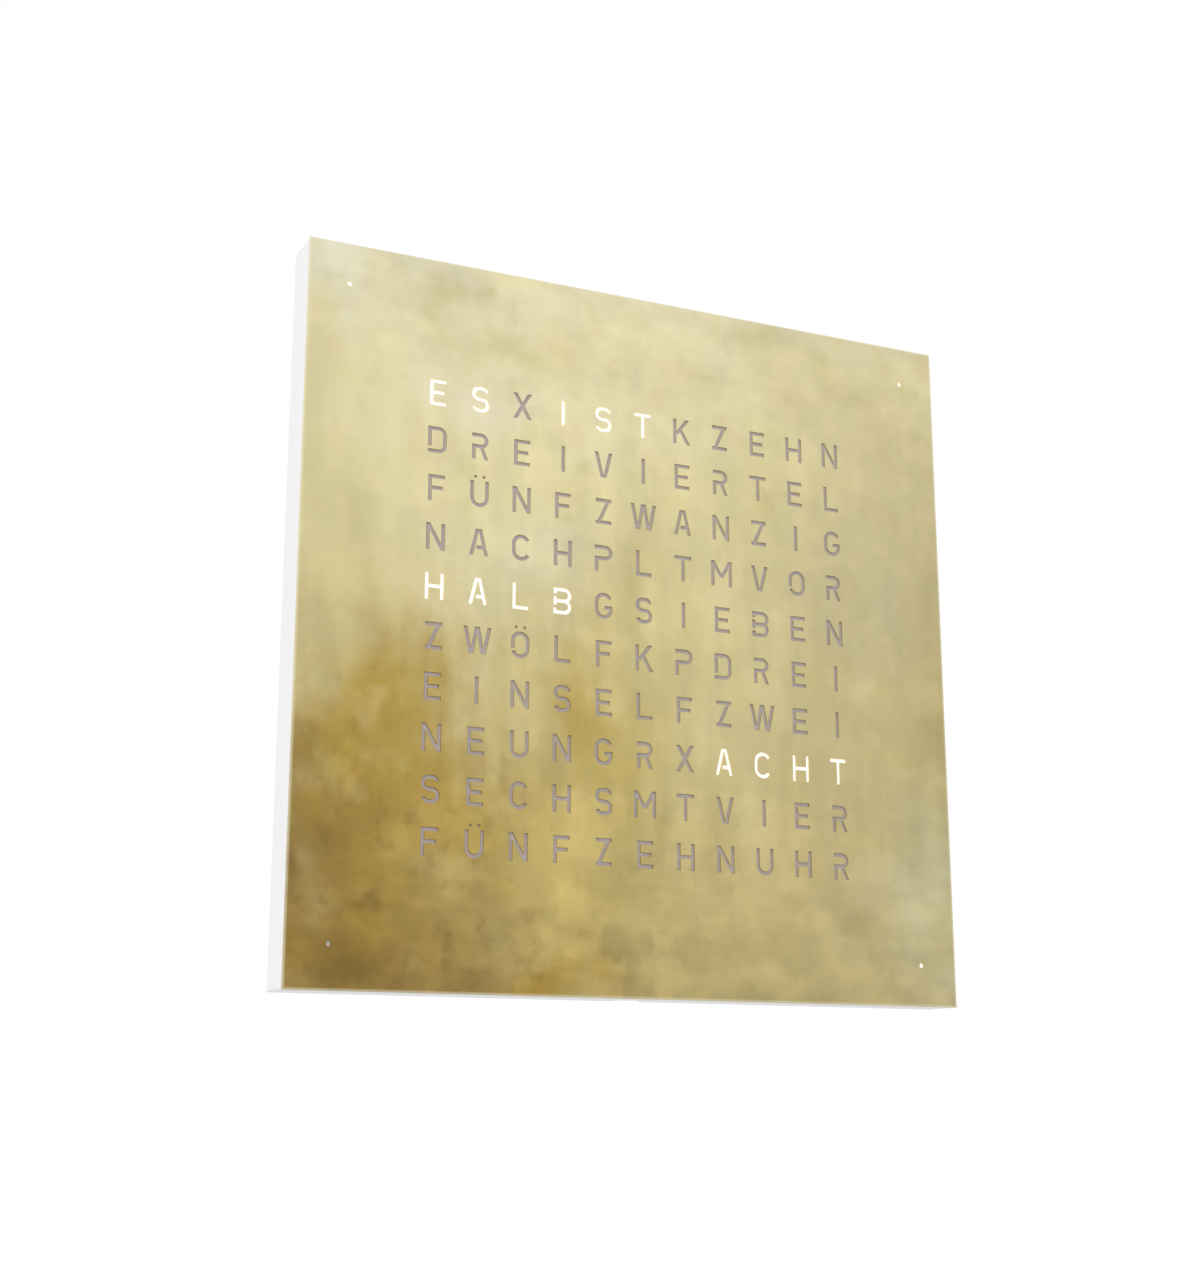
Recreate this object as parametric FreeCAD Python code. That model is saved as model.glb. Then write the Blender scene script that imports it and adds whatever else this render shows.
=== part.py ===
import FreeCAD, Part
import math
import os

# A square word clock for the wall. A thin brass front with cut-out letters is held by
# magnets on a white casing. Behind it lie an opal sheet, a black panel of light wells and
# ten rows of light-emitting diodes. The casing hooks on a steel wall bracket.
#
# Millimetres. X runs to the right as seen from the front, Z is up, and the wall is the
# plane y = 0, so the front faces -Y. The origin is the centre of the clock on the wall.

V = FreeCAD.Vector
os.makedirs("parts", exist_ok=True)

# ---------------------------------------------------------------- driving dimensions

# Casing
clock_side = 450.0          # width and height
clock_depth = 32.0          # wall to brass front
rail_width = 18.0           # frame rail at the front
ledge_width = 10.0          # step inside each rail that the rear cover lies on
recess_depth = 7.0          # wall to the rear cover's outer face
rear_edge_radius = 1.5
corner_radius = 1.0

# Sheets and panels
plate_thick = 1.2
plate_edge = 0.25           # broken edge round the brass front
diffuser_thick = 0.8
rear_cover_thick = 2.0
pad_thick = 1.0
panel_gap = 0.3             # panels and sheets inside the frame, each side

# Letter grid
columns = 11
rows = 10
grid_margin_x = 70.725      # clock's side to the outer cells
grid_margin_z = 71.5
cell_wall = 4.0             # web between two light wells
letter_height = 16.8
stroke = 2.4
bridge = 1.6                # web of brass that holds the inside of a closed letter
narrow_width = 10.8         # E F L R Z
letter_width = 12.2         # most letters
wide_width = 15.2           # M
widest_width = 18.0         # W
umlaut_rise = 2.5           # umlaut dots above the letter's top
umlaut_half_gap = 2.8
umlaut_radius = 1.0

# Minute dots
dot_radius = 1.6
dot_inset = 26.0            # from the clock's edges
dot_well_radius = 4.5

# Boards
board_thick = 1.6
board_pocket = 5.0          # milled depth behind the boards, down from the panel's back
row_board_gap = 4.7         # between two row boards
board_overhang = 6.0        # past the outer letters' cells at each end
board_side_gap = 3.0
minute_board_side = 15.0
minute_board_shift = -0.5   # board centre to minute dot, along each axis
diode_side = 5.0
diode_height = 1.5
capacitor_size = (2.0, 0.9, 1.2)
capacitor_offset = (6.5, -7.0)
diode_notch = 0.6           # cut-off corner that marks the first lead
sensor_size = (2.0, 2.0, 0.8)
sensor_column = 2           # counted from 0, in the first row
sensor_offset = 6.0         # right and up from its letter's middle
row_screw_share = 0.5       # of the overhang, from the outer cells to the screws
minute_screw_inset = 2.0
controller_screw_inset = 4.0
pocket_play = 1.0           # round the boards in the panel's pockets
core_clearance = 0.02       # board to the cores that lie on it

# Controller board below the letters
controller_half_width = 96.0
controller_gap = 3.6        # board to panel edge at the bottom
component_depth = 10.0      # room in front of the board for its components
component_margin = 6.0
processor_side = 12.0
processor_height = 1.6
lead_count = 11
lead_pitch = 1.0
lead_reach = 1.5            # of a chip's lead beyond its body
driver_x = (-18.0, -33.0)
driver_size = (8.0, 18.0, 2.2)
driver_lead_count = 13
driver_lead_pitch = 1.27
crystal_radius = 1.5
crystal_length = 8.0
crystal_drop = 11.0         # below the middle of the board
crystal_lift = 0.05         # off the board
regulator_x = 30.0
regulator_size = (6.6, 6.2, 2.3)
regulator_tab = (4.0, 6.0, 0.6)
regulator_tab_rise = 1.0    # of the tab under the body
inductor_x = 43.0
inductor_side = 10.0
inductor_height = 4.5
inductor_rise = 3.0         # above the middle of the board
inductor_corner = 1.5
power_capacitor_x = (57.0, 67.0)
power_capacitor_radius = 4.0
power_capacitor_height = 9.0
power_capacitor_rise = 4.0  # above the middle of the board
cell_inset = 17.0           # coin cell's centre from the board's left end
cell_radius = 10.0
cell_thick = 3.2
cell_floor = 1.2            # board to coin cell
cell_edge = 0.3
holder_half = 9.0
holder_foot = 2.0           # holder below the coin cell
arm_half = 3.0
arm_thick = 0.5

# Push-buttons at the back
button_inset = 7.0          # from the controller board's right end
button_pitch = 17.0
button_rise = 19.1          # above the controller board's lower edge
button_radius = 3.0
button_flange_radius = 4.5
button_flange_thick = 0.8
button_proud = 1.0
button_nose_radius = 1.5
button_gap = 0.35           # round a cap in the rear cover and round its nose
button_edge_radius = 0.4
nose_seat = 0.15            # of the nose in its switch, besides its travel
nose_end_gap = 0.1
switch_side = 6.0
switch_height = 1.9
button_travel = 0.5

# Power socket and the tray for its plug
socket_half_width = 4.5
socket_height = 10.5
socket_length = 14.0
socket_bore_radius = 3.15
socket_bore_depth = 10.5
socket_axis_height = 5.6    # above the board
socket_pin_radius = 1.0
socket_pin_proud = 9.0
well_half_width = 11.0
well_wall = 1.2
well_length = 35.5
well_play = 0.4             # round the tray and the socket
gate_play = 0.3             # tray's gate round the socket

# Magnets
magnet_radius = 6.3
magnet_thick = 3.0
disc_radius = 6.0
disc_thick = 1.2
magnet_gap = 0.8            # magnet to disc
glue_gap = 0.1
magnet_place = 150.0        # along each rail from its middle

# Time signal receiver above the letters
antenna_pocket_depth = 15.0
antenna_pocket_length = 103.3
ferrite_radius = 4.0
ferrite_length = 60.0
ferrite_place = 42.0        # rod's middle from the pocket's left end
coil_radius = 5.2
coil_length = 22.0
holder_width = 5.0
holder_inset = 8.0          # from each end of the rod
holder_wall = 2.0
rod_play = 0.05             # round the rod in its holders and coil
radio_board_side = (20.0, 26.0)
antenna_pocket_rim = 5.6    # web of the panel above the pocket
radio_gap = 2.0             # pocket to radio board at the top
antenna_lead_lap = 4.0      # on to the radio board and the controller board
antenna_lead_drop = 8.0     # below the controller board's upper edge
antenna_lead_lift = 0.1     # off the boards

# Fasteners
screw_play = 0.05           # round a thread in its pilot hole
hole_play = 0.3             # round a shank in a through hole
m2 = 1.0
m3 = 1.5
m4 = 2.0
board_screw_length = 6.0
cover_screw_length = 9.0
hanger_screw_length = 5.0
cover_screw_along = (-150.0, -50.0, 50.0, 150.0)
panel_screw_along = (-120.0, 0.0, 120.0)
pilot_spare = 0.2           # pilot hole beyond both ends of the thread
dowel_radius = 3.0
dowel_length = 17.0
dowel_spare = 0.4           # room in the length of a dowel's holes

# Wall bracket and hanger
bracket_half_width = 110.0
bracket_bottom = -70.0
bracket_step_z = 60.0
bracket_thick = 2.0
bracket_top = 74.0
bracket_offset = 3.0        # wall to the raised lip
bracket_corner = 6.0
wall_hole_radius = 2.5
wall_hole_x = 90.0
wall_hole_z = 50.0
hanger_half_width = 100.0
hanger_thick = 1.5
hanger_top = 100.0
hanger_screw_x = (-85.0, -28.0, 28.0, 85.0)
hanger_web = 2.0
hook_thick = 1.8
hook_drop = 8.0
hook_wall_gap = 0.8

# Rear cover and pads
vent_width = 3.0
vent_length = 26.0
vent_pitch = 8.0
vent_count = 13
vent_z = -105.0
vent_middle = 95.0
pad_half_width = 2.75
pad_length = 20.0
pad_place = 190.0

# Wiring
ribbon_thick = 0.8
ribbon_width = 12.0
ribbon_overlap = 3.5        # on to each board
ribbon_core_lap = 0.92      # pitch of a ribbon's cores, as a share of their thickness
core_radius = 0.65
lead_core_lap = 0.9         # the same for the leads of the minute dots
lead_lap = 3.0              # of those leads on to the controller board
lead_end_gap = 1.0          # less than channel_on_board, at the upper corner boards
lead_radius = 0.9
lead_bend = 10.0
channel_width = 6.0
channel_on_board = 4.5      # how far on to a corner board its leads run

# ---------------------------------------------------------------- derived places

half_side = clock_side / 2
opening = half_side - rail_width
ledge_edge = opening + ledge_width
panel_half = opening - panel_gap
plate_front = -clock_depth
rail_front = plate_front + plate_thick
rail_back = -pad_thick
panel_front = rail_front + diffuser_thick
cover_back = -recess_depth
cover_front = cover_back - rear_cover_thick
panel_back = cover_front
board_front = panel_back - board_pocket
board_back = board_front + board_thick

grid_half_x = half_side - grid_margin_x
grid_half_z = half_side - grid_margin_z
pitch_x = 2 * grid_half_x / columns
pitch_z = 2 * grid_half_z / rows
row_board_height = pitch_z - row_board_gap
row_board_half = grid_half_x + board_overhang
led_pocket_x = row_board_half + board_side_gap
led_pocket_z = grid_half_z + board_side_gap
dot_place = half_side - dot_inset
board_edge = dot_place + minute_board_shift - minute_board_side / 2
channel_place = board_edge + channel_on_board
column_x = [(i - (columns - 1) / 2) * pitch_x for i in range(columns)]
row_z = [((rows - 1) / 2 - j) * pitch_z for j in range(rows)]
corners = [(sx, sz) for sz in (1, -1) for sx in (-1, 1)]

controller_bottom = -(panel_half - controller_gap)
controller_top = row_z[-1] - row_board_height / 2 - controller_gap
button_x = [controller_half_width - button_inset - k * button_pitch for k in (2, 1, 0)]
button_z = controller_bottom + button_rise
well_top = -panel_half + well_length
channel_half = well_half_width - well_wall       # the way for the plug and its cord
channel_front = board_front + well_wall
socket_axis = board_back + socket_axis_height


# ---------------------------------------------------------------- helpers

def box(x0, x1, y0, y1, z0, z1):
    return Part.makeBox(x1 - x0, y1 - y0, z1 - z0, V(x0, y0, z0))


def rod(radius, x, z, y0, y1):
    """A cylinder along Y."""
    return Part.makeCylinder(radius, y1 - y0, V(x, y0, z), V(0, 1, 0))


def rod_x(radius, y, z, x0, x1):
    return Part.makeCylinder(radius, x1 - x0, V(x0, y, z), V(1, 0, 0))


def rod_z(radius, x, y, z0, z1):
    return Part.makeCylinder(radius, z1 - z0, V(x, y, z0), V(0, 0, 1))


def group(solids):
    return Part.makeCompound(solids)


def save(name, shape):
    shape.exportStep("parts/" + name + ".step")


def profile_along_x(points, x0, x1):
    """A bar along X with a section given as (y, z) points."""
    ring = [V(x0, y, z) for y, z in points]
    face = Part.Face(Part.makePolygon(ring + ring[:1]))
    return face.extrude(V(x1 - x0, 0, 0))


def rounded_plate(x0, x1, y0, y1, z0, z1, radius):
    """A plate with its four corners rounded, seen along Y."""
    plate = box(x0, x1, y0, y1, z0, z1)
    along_y = [e for e in plate.Edges if abs(e.tangentAt(e.FirstParameter).y) > 0.9]
    return plate.makeFillet(radius, along_y)


def pan_screw(radius, x, z, seat_y, length):
    """A pan head screw driven from the back. Its head stands behind seat_y."""
    head_radius = 1.9 * radius
    head_height = 1.2 * radius
    slot = 0.2 * radius
    head = rod(head_radius, x, z, seat_y, seat_y + head_height)
    rim = [e for e in head.Edges if abs(e.BoundBox.YMin - seat_y - head_height) < 0.01]
    head = head.makeFillet(0.35 * head_height, [e for e in rim if e.BoundBox.YLength < 0.01])
    shank = rod(radius, x, z, seat_y - length, seat_y)
    reach = 0.6 * head_radius
    depth = seat_y + 0.45 * head_height
    cross = box(x - reach, x + reach, depth, seat_y + 2 * head_height, z - slot, z + slot)
    cross = cross.fuse(box(x - slot, x + slot, depth, seat_y + 2 * head_height, z - reach, z + reach))
    return head.fuse(shank).removeSplitter().cut(cross)


def pilot(radius, x, z, seat_y, length):
    """The pilot hole of a screw, just wider than its thread."""
    return rod(radius + screw_play, x, z, seat_y - length - pilot_spare, seat_y + pilot_spare)


# ---------------------------------------------------------------- letters

# Each letter is a set of strokes of one width in the XZ plane, centred on (0, 0). Closed
# letters are bridged, as in a stencil, so that no inside falls out of the sheet.

half_stroke = stroke / 2
top = letter_height / 2
line = top - half_stroke    # middle of the top and bottom strokes


def polygon(points):
    ring = [V(x, 0, z) for x, z in points]
    return Part.Face(Part.makePolygon(ring + ring[:1]))


def bar(x0, x1, z):
    """A level stroke between two ends."""
    low = z - half_stroke
    high = z + half_stroke
    return polygon([(x0, low), (x1, low), (x1, high), (x0, high)])


def stem(x, z0=-top, z1=top):
    """An upright stroke."""
    left = x - half_stroke
    right = x + half_stroke
    return polygon([(left, z0), (right, z0), (right, z1), (left, z1)])


def slant(x0, z0, x1, z1):
    """A sloping stroke whose ends are cut level."""
    reach = half_stroke * math.hypot(x1 - x0, z1 - z0) / abs(z1 - z0)
    return polygon([(x0 - reach, z0), (x0 + reach, z0), (x1 + reach, z1), (x1 - reach, z1)])


def curve(cx, cz, radius, a0, a1):
    """A round stroke from angle a0 to a1, in degrees from the right."""
    def at(r, a):
        return V(cx + r * math.cos(math.radians(a)), 0, cz + r * math.sin(math.radians(a)))

    outer = radius + half_stroke
    inner = radius - half_stroke
    middle = (a0 + a1) / 2
    edges = [
        Part.Arc(at(outer, a0), at(outer, middle), at(outer, a1)).toShape(),
        Part.makeLine(at(outer, a1), at(inner, a1)),
        Part.Arc(at(inner, a1), at(inner, middle), at(inner, a0)).toShape(),
        Part.makeLine(at(inner, a0), at(outer, a0)),
    ]
    return Part.Face(Part.Wire(edges))


def round_dot(x, z, radius):
    circle = Part.Circle(V(x, 0, z), V(0, -1, 0), radius).toShape()
    return Part.Face(Part.Wire([circle]))


def umlaut():
    z = top + umlaut_rise
    return [round_dot(-umlaut_half_gap, z, umlaut_radius), round_dot(umlaut_half_gap, z, umlaut_radius)]


def strokes(letter):
    """The strokes of one letter."""
    edge = letter_width / 2
    side = edge - half_stroke
    narrow = narrow_width / 2
    narrow_side = narrow - half_stroke
    shoulder = line - side            # where the round top of O meets its straight side
    bowl = line / 2                   # radius of the bowls of B, P, R and S
    lean = stroke / 3
    if letter == "A":
        level = -0.4 * top
        inside = side * (top - level) / (2 * top) + lean
        return [
            slant(-side, -top, -lean, top),
            slant(side, -top, lean, top),
            bar(-inside + half_stroke + bridge, inside, level),
        ]
    if letter == "B":
        bend = side - bowl
        return [
            bar(-edge, bend, line), bar(-edge, bend, 0), bar(-edge, bend, -line),
            curve(bend, bowl, bowl, -90, 90), curve(bend, -bowl, bowl, -90, 90),
            stem(-side, bowl + bridge / 2, top), stem(-side, 0, bowl - bridge / 2),
            stem(-side, -bowl + bridge / 2, 0), stem(-side, -top, -bowl - bridge / 2),
        ]
    if letter in "CG":
        parts = [
            curve(0, shoulder, side, 28, 180),
            stem(-side, -shoulder, shoulder),
        ]
        if letter == "C":
            return parts + [curve(0, -shoulder, side, 180, 332)]
        return parts + [
            curve(0, -shoulder, side, 180, 360),
            bar(stroke / 4, edge, half_stroke - shoulder),
        ]
    if letter == "D":
        bend = side - 1.6 * stroke
        corner = 1.6 * stroke
        return [
            bar(-edge, bend, line), bar(-edge, bend, -line),
            curve(bend, line - corner, corner, 0, 90), curve(bend, corner - line, corner, -90, 0),
            stem(side, corner - line, line - corner),
            stem(-side, -line + half_stroke + bridge, top),
        ]
    if letter == "E":
        return [
            stem(-narrow_side), bar(-narrow, narrow, line), bar(-narrow, narrow, -line),
            bar(-narrow, narrow - stroke / 2, 0),
        ]
    if letter == "F":
        return [stem(-narrow_side), bar(-narrow, narrow, line), bar(-narrow, narrow - stroke / 2, 0)]
    if letter == "H":
        return [stem(-side), stem(side), bar(-side, side, 0)]
    if letter == "I":
        return [stem(0)]
    if letter == "K":
        return [
            stem(-side),
            slant(-side + half_stroke, -0.2 * top, side - lean, top),
            slant(side, -top, -lean, 0.15 * top),
        ]
    if letter == "L":
        return [stem(-narrow_side), bar(-narrow, narrow, -line)]
    if letter == "M":
        far = wide_width / 2 - half_stroke
        return [stem(-far), stem(far), slant(0, -0.3 * top, far, top), slant(0, -0.3 * top, -far, top)]
    if letter == "N":
        return [stem(-side), stem(side), slant(side, -top, -side, top)]
    if letter == "O":
        opened = math.degrees(bridge / side)
        return [
            curve(0, shoulder, side, 0, 180),
            stem(-side, -shoulder, shoulder), stem(side, -shoulder, shoulder),
            curve(0, -shoulder, side, 180 + opened, 360),
        ]
    if letter == "P":
        bend = side - bowl
        return [
            bar(-edge, bend, line), bar(-edge, bend, 0),
            curve(bend, bowl, bowl, -90, 90), stem(-side, -top, half_stroke),
        ]
    if letter == "R":
        bend = narrow_side - bowl
        return [
            bar(-narrow, bend, line), bar(-narrow, bend, 0),
            curve(bend, bowl, bowl, -90, 90), stem(-narrow_side, -top, half_stroke),
            slant(narrow_side, -top, bend, 0),
        ]
    if letter == "S":
        bend = side - bowl - stroke / 8
        return [
            curve(bend, bowl, bowl, 20, 90), bar(-bend, bend, line),
            curve(-bend, bowl, bowl, 90, 270), bar(-bend, bend, 0),
            curve(bend, -bowl, bowl, -90, 90), bar(-bend, bend, -line),
            curve(-bend, -bowl, bowl, 200, 270),
        ]
    if letter == "T":
        return [stem(0), bar(-edge, edge, line)]
    if letter == "U":
        return [
            stem(-side, -shoulder, top), stem(side, -shoulder, top),
            curve(0, -shoulder, side, 180, 360),
        ]
    if letter == "V":
        return [slant(-lean, -top, -side, top), slant(lean, -top, side, top)]
    if letter == "W":
        far = widest_width / 2 - half_stroke
        return [
            slant(-far / 2 - lean / 2, -top, -far, top), slant(-far / 2 + lean / 2, -top, -lean / 2, top),
            slant(far / 2 - lean / 2, -top, lean / 2, top), slant(far / 2 + lean / 2, -top, far, top),
        ]
    if letter == "X":
        return [slant(-side, -top, side, top), slant(side, -top, -side, top)]
    # Z
    return [
        bar(-narrow, narrow, line), bar(-narrow, narrow, -line),
        slant(-narrow + 0.65 * stroke, -top, narrow - 0.65 * stroke, top),
    ]


def letter_outlines(letter):
    """The closed outlines to cut for one letter."""
    plain = {"Ö": "O", "Ü": "U"}.get(letter, letter)
    pieces = strokes(plain)
    joined = pieces[0].multiFuse(pieces[1:]).removeSplitter() if len(pieces) > 1 else pieces[0]
    dots = [] if letter == plain else umlaut()
    return [face.OuterWire for face in joined.Faces + dots]


# The common German words for the hours and minutes, with filler letters between them.
word_rows = (
    "ESXISTKZEHN",
    "DREIVIERTEL",
    "FÜNFZWANZIG",
    "NACHPLTMVOR",
    "HALBGSIEBEN",
    "ZWÖLFKPDREI",
    "EINSELFZWEI",
    "NEUNGRXACHT",
    "SECHSMTVIER",
    "FÜNFZEHNUHR",
)
outlines = {letter: letter_outlines(letter) for letter in sorted(set("".join(word_rows)))}


# ---------------------------------------------------------------- brass front

def make_front_plate():
    border = box(-half_side, half_side, plate_front, plate_front + 1, -half_side, half_side)
    front = [f for f in border.Faces if f.BoundBox.YLength < 0.01 and f.BoundBox.YMin < plate_front + 0.5]
    wires = [front[0].OuterWire]
    for z, word_row in zip(row_z, word_rows):
        for x, letter in zip(column_x, word_row):
            for outline in outlines[letter]:
                cut = outline.copy()
                cut.translate(V(x, plate_front, z))
                wires.append(cut)
    for sx, sz in corners:
        dot = Part.Circle(V(sx * dot_place, plate_front, sz * dot_place), V(0, -1, 0), dot_radius)
        wires.append(Part.Wire([dot.toShape()]))
    face = Part.makeFace(Part.makeCompound(wires), "Part::FaceMakerBullseye")
    plate = face.extrude(V(0, plate_thick, 0))
    rim = [
        e for e in plate.Edges
        if e.BoundBox.YMax < plate_front + 0.01 and max(e.BoundBox.XLength, e.BoundBox.ZLength) > half_side
    ]
    return plate.makeChamfer(plate_edge, rim)


save("front_plate", make_front_plate())

magnet_places = [(s * (opening + half_side) / 2, t * magnet_place) for s in (-1, 1) for t in (-1, 1)]
magnet_places = magnet_places + [(z, x) for x, z in magnet_places]
pocket_depth = disc_thick + magnet_gap + magnet_thick
disc_back = rail_front + disc_thick
save("cover_discs", group([rod(disc_radius, x, z, rail_front, disc_back) for x, z in magnet_places]))
save("casing_magnets", group([
    rod(magnet_radius, x, z, rail_front + pocket_depth - magnet_thick, rail_front + pocket_depth)
    for x, z in magnet_places
]))


# ---------------------------------------------------------------- lacquered frame

ledge_middle = (opening + ledge_edge) / 2
side_screws = [(s * ledge_middle, t) for s in (-1, 1) for t in cover_screw_along]
frame_screws = side_screws + [(z, x) for x, z in side_screws]
panel_screw_x = (led_pocket_x + channel_place - channel_width / 2) / 2
panel_screws = [(s * panel_screw_x, t) for s in (-1, 1) for t in panel_screw_along]


def make_frame():
    outer = box(-half_side, half_side, rail_front, rail_back, -half_side, half_side)
    upright = [e for e in outer.Edges if abs(e.tangentAt(e.FirstParameter).y) > 0.9]
    outer = outer.makeFillet(corner_radius, upright)
    rear = [e for e in outer.Edges if e.BoundBox.YMin > rail_back - 0.01]
    outer = outer.makeFillet(rear_edge_radius, rear)
    inside = box(-opening, opening, rail_front - 1, 0, -opening, opening)
    step = box(-ledge_edge, ledge_edge, cover_front, 0, -ledge_edge, ledge_edge)
    frame = outer.cut(inside).cut(step)
    for x, z in magnet_places:
        frame = frame.cut(rod(magnet_radius + glue_gap, x, z, rail_front - 1, rail_front + pocket_depth))
    for x, z in frame_screws:
        frame = frame.cut(pilot(m3, x, z, cover_back, cover_screw_length))
    frame = frame.cut(box(-channel_half, channel_half, channel_front, 0, -half_side - 1, -opening + 1))
    for dowel in dowels(screw_play, dowel_spare):
        frame = frame.cut(dowel)
    return frame


def dowels(play, spare):
    """The dowels across the four mitres, or their holes."""
    made = []
    middle = (opening + half_side) / 2
    depth = (rail_front + rail_back) / 2
    for sx, sz in corners:
        along = V(sx, 0, -sz).normalize()
        length = dowel_length + spare
        start = V(sx * middle, depth, sz * middle) - along * (length / 2)
        made.append(Part.makeCylinder(dowel_radius + play, length, start, along))
    return made


def make_rails():
    frame = make_frame()
    reach = half_side + 10
    wedges = {
        "top_rail": [(0, 0), (reach, reach), (-reach, reach)],
        "bottom_rail": [(0, 0), (-reach, -reach), (reach, -reach)],
        "left_rail": [(0, 0), (-reach, reach), (-reach, -reach)],
        "right_rail": [(0, 0), (reach, -reach), (reach, reach)],
    }
    for name, points in wedges.items():
        wedge = polygon(points)
        wedge.translate(V(0, -clock_depth - 5, 0))
        rail = frame.common(wedge.extrude(V(0, clock_depth + 10, 0)))
        save(name, rail.Solids[0])


make_rails()
save("mitre_dowels", group(dowels(0, 0)))

pad_middle = (ledge_edge + half_side - rear_edge_radius) / 2
save("wall_pads", group([
    rounded_plate(
        sx * pad_middle - pad_half_width, sx * pad_middle + pad_half_width, rail_back, 0,
        sz * pad_place - pad_length / 2, sz * pad_place + pad_length / 2, 0.9 * pad_half_width,
    )
    for sx, sz in corners
]))


# ---------------------------------------------------------------- opal sheet and light wells

save("diffuser_sheet", box(-panel_half, panel_half, rail_front, panel_front, -panel_half, panel_half))

board_screw_x = grid_half_x + row_screw_share * board_overhang
minute_screw = board_edge + minute_board_side - minute_screw_inset
controller_screws = [
    (sx * (controller_half_width - controller_screw_inset), z)
    for sx in (-1, 1)
    for z in (controller_top - controller_screw_inset, controller_bottom + controller_screw_inset)
]
row_screws = [(sx * board_screw_x, z) for z in row_z for sx in (-1, 1)]
corner_screws = [(sx * minute_screw, sz * minute_screw) for sx, sz in corners]
board_screws = row_screws + corner_screws + controller_screws

component_front = board_front - component_depth
antenna_pocket_front = panel_back - antenna_pocket_depth
antenna_pocket_left = led_pocket_x - antenna_pocket_length
antenna_low = led_pocket_z
antenna_high = panel_half - antenna_pocket_rim
radio_x = row_board_half - radio_board_side[0] / 2
radio_z = antenna_high - radio_board_side[1] / 2 - radio_gap
lead_x = row_board_half + board_side_gap / 2
well_space = well_half_width + well_play


def make_light_grid():
    grid = box(-panel_half, panel_half, panel_front, panel_back, -panel_half, panel_half)
    behind = panel_back + 1
    ahead = panel_front - 1
    half_x = (pitch_x - cell_wall) / 2
    half_z = (pitch_z - cell_wall) / 2
    wells = [
        box(x - half_x, x + half_x, ahead, board_front + 1, z - half_z, z + half_z)
        for z in row_z for x in column_x
    ]
    for sx, sz in corners:
        wells.append(rod(dot_well_radius, sx * dot_place, sz * dot_place, ahead, board_front + 1))
    # the pockets behind, for the row boards, the controller, the corners and the receiver
    low = controller_bottom - pocket_play
    pockets = [
        box(-led_pocket_x, led_pocket_x, board_front, behind, -led_pocket_z, led_pocket_z),
        box(-led_pocket_x, led_pocket_x, board_front, behind, low, -led_pocket_z + 1),
        box(-well_space, well_space, board_front, behind, -panel_half - 1, low + 1),
        box(
            -controller_half_width + component_margin, controller_half_width - component_margin,
            component_front, behind, controller_bottom + component_margin, controller_top - component_margin,
        ),
        box(antenna_pocket_left, led_pocket_x, antenna_pocket_front, behind, antenna_low - 1, antenna_high),
    ]
    corner_low = board_edge - pocket_play
    for sx, sz in corners:
        x0, x1 = sorted((sx * corner_low, sx * (panel_half + 1)))
        z0, z1 = sorted((sz * corner_low, sz * (panel_half + 1)))
        pockets.append(box(x0, x1, board_front, behind, z0, z1))
    inside = channel_place - channel_width / 2
    outside = channel_place + channel_width / 2
    for sx in (-1, 1):
        x0, x1 = sorted((sx * inside, sx * outside))
        pockets.append(box(x0, x1, board_front, behind, -corner_low - 1, corner_low + 1))
        x0, x1 = sorted((sx * (led_pocket_x - 1), sx * (corner_low + 1)))
        pockets.append(box(x0, x1, board_front, behind, -outside, -inside))
    holes = [pilot(m2, x, z, board_back, board_screw_length) for x, z in board_screws]
    holes += [pilot(m3, x, z, cover_back, cover_screw_length) for x, z in panel_screws]
    return grid.cut(wells + pockets + holes)


save("light_grid", make_light_grid())


# ---------------------------------------------------------------- boards behind the letters

def drill(shape, places):
    """Screw holes through a board."""
    return shape.cut([rod(m2 + hole_play, x, z, board_front - 1, board_back + 1) for x, z in places])


for j, z in enumerate(row_z):
    half = row_board_height / 2
    board = box(-row_board_half, row_board_half, board_front, board_back, z - half, z + half)
    save("row_board_%02d" % (j + 1), drill(board, [(-board_screw_x, z), (board_screw_x, z)]))


def diode(x, z):
    """A square diode package with a round window in its front."""
    low = board_front - diode_height
    half = diode_side / 2
    body = box(x - half, x + half, low, board_front, z - half, z + half)
    window = rod(0.8 * half, x, z, low - 1, low + 0.25 * diode_height)
    inner_x = x + half - diode_notch
    inner_z = z + half - diode_notch
    notch = box(inner_x, x + half + 1, low - 1, low + 0.3 * diode_height, inner_z, z + half + 1)
    return body.cut(window).cut(notch)


def chip(x, z, width, depth, height):
    """A small block on the front of a board."""
    return box(x - width / 2, x + width / 2, board_front - height, board_front, z - depth / 2, z + depth / 2)


save("letter_leds", group([diode(x, z) for z in row_z for x in column_x]))
cap_w, cap_h, cap_d = capacitor_size
cap_x, cap_z = capacitor_offset
save("led_capacitors", group([
    chip(x + cap_x, z + cap_z, cap_w, cap_d, cap_h) for z in row_z for x in column_x
]))

minute_boards = []
for sx, sz in corners:
    half = minute_board_side / 2
    x = sx * (dot_place + minute_board_shift)
    z = sz * (dot_place + minute_board_shift)
    board = box(x - half, x + half, board_front, board_back, z - half, z + half)
    minute_boards.append(drill(board, corner_screws))
save("minute_boards", group(minute_boards))
save("minute_leds", group([diode(sx * dot_place, sz * dot_place) for sx, sz in corners]))

# the first row's filler letter hides the sensor
save("light_sensor", chip(column_x[sensor_column] + sensor_offset, row_z[0] + sensor_offset, *sensor_size))


def ribbon(x, z0, z1, width):
    """A flat cable of parallel cores on the back of two boards."""
    count = int(width / ribbon_thick)
    radius = ribbon_thick / 2
    y = board_back + radius + core_clearance
    pitch = ribbon_thick * ribbon_core_lap
    cores = [rod_z(radius, x + (k - (count - 1) / 2) * pitch, y, z0, z1) for k in range(count)]
    return cores[0].multiFuse(cores[1:])


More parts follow.
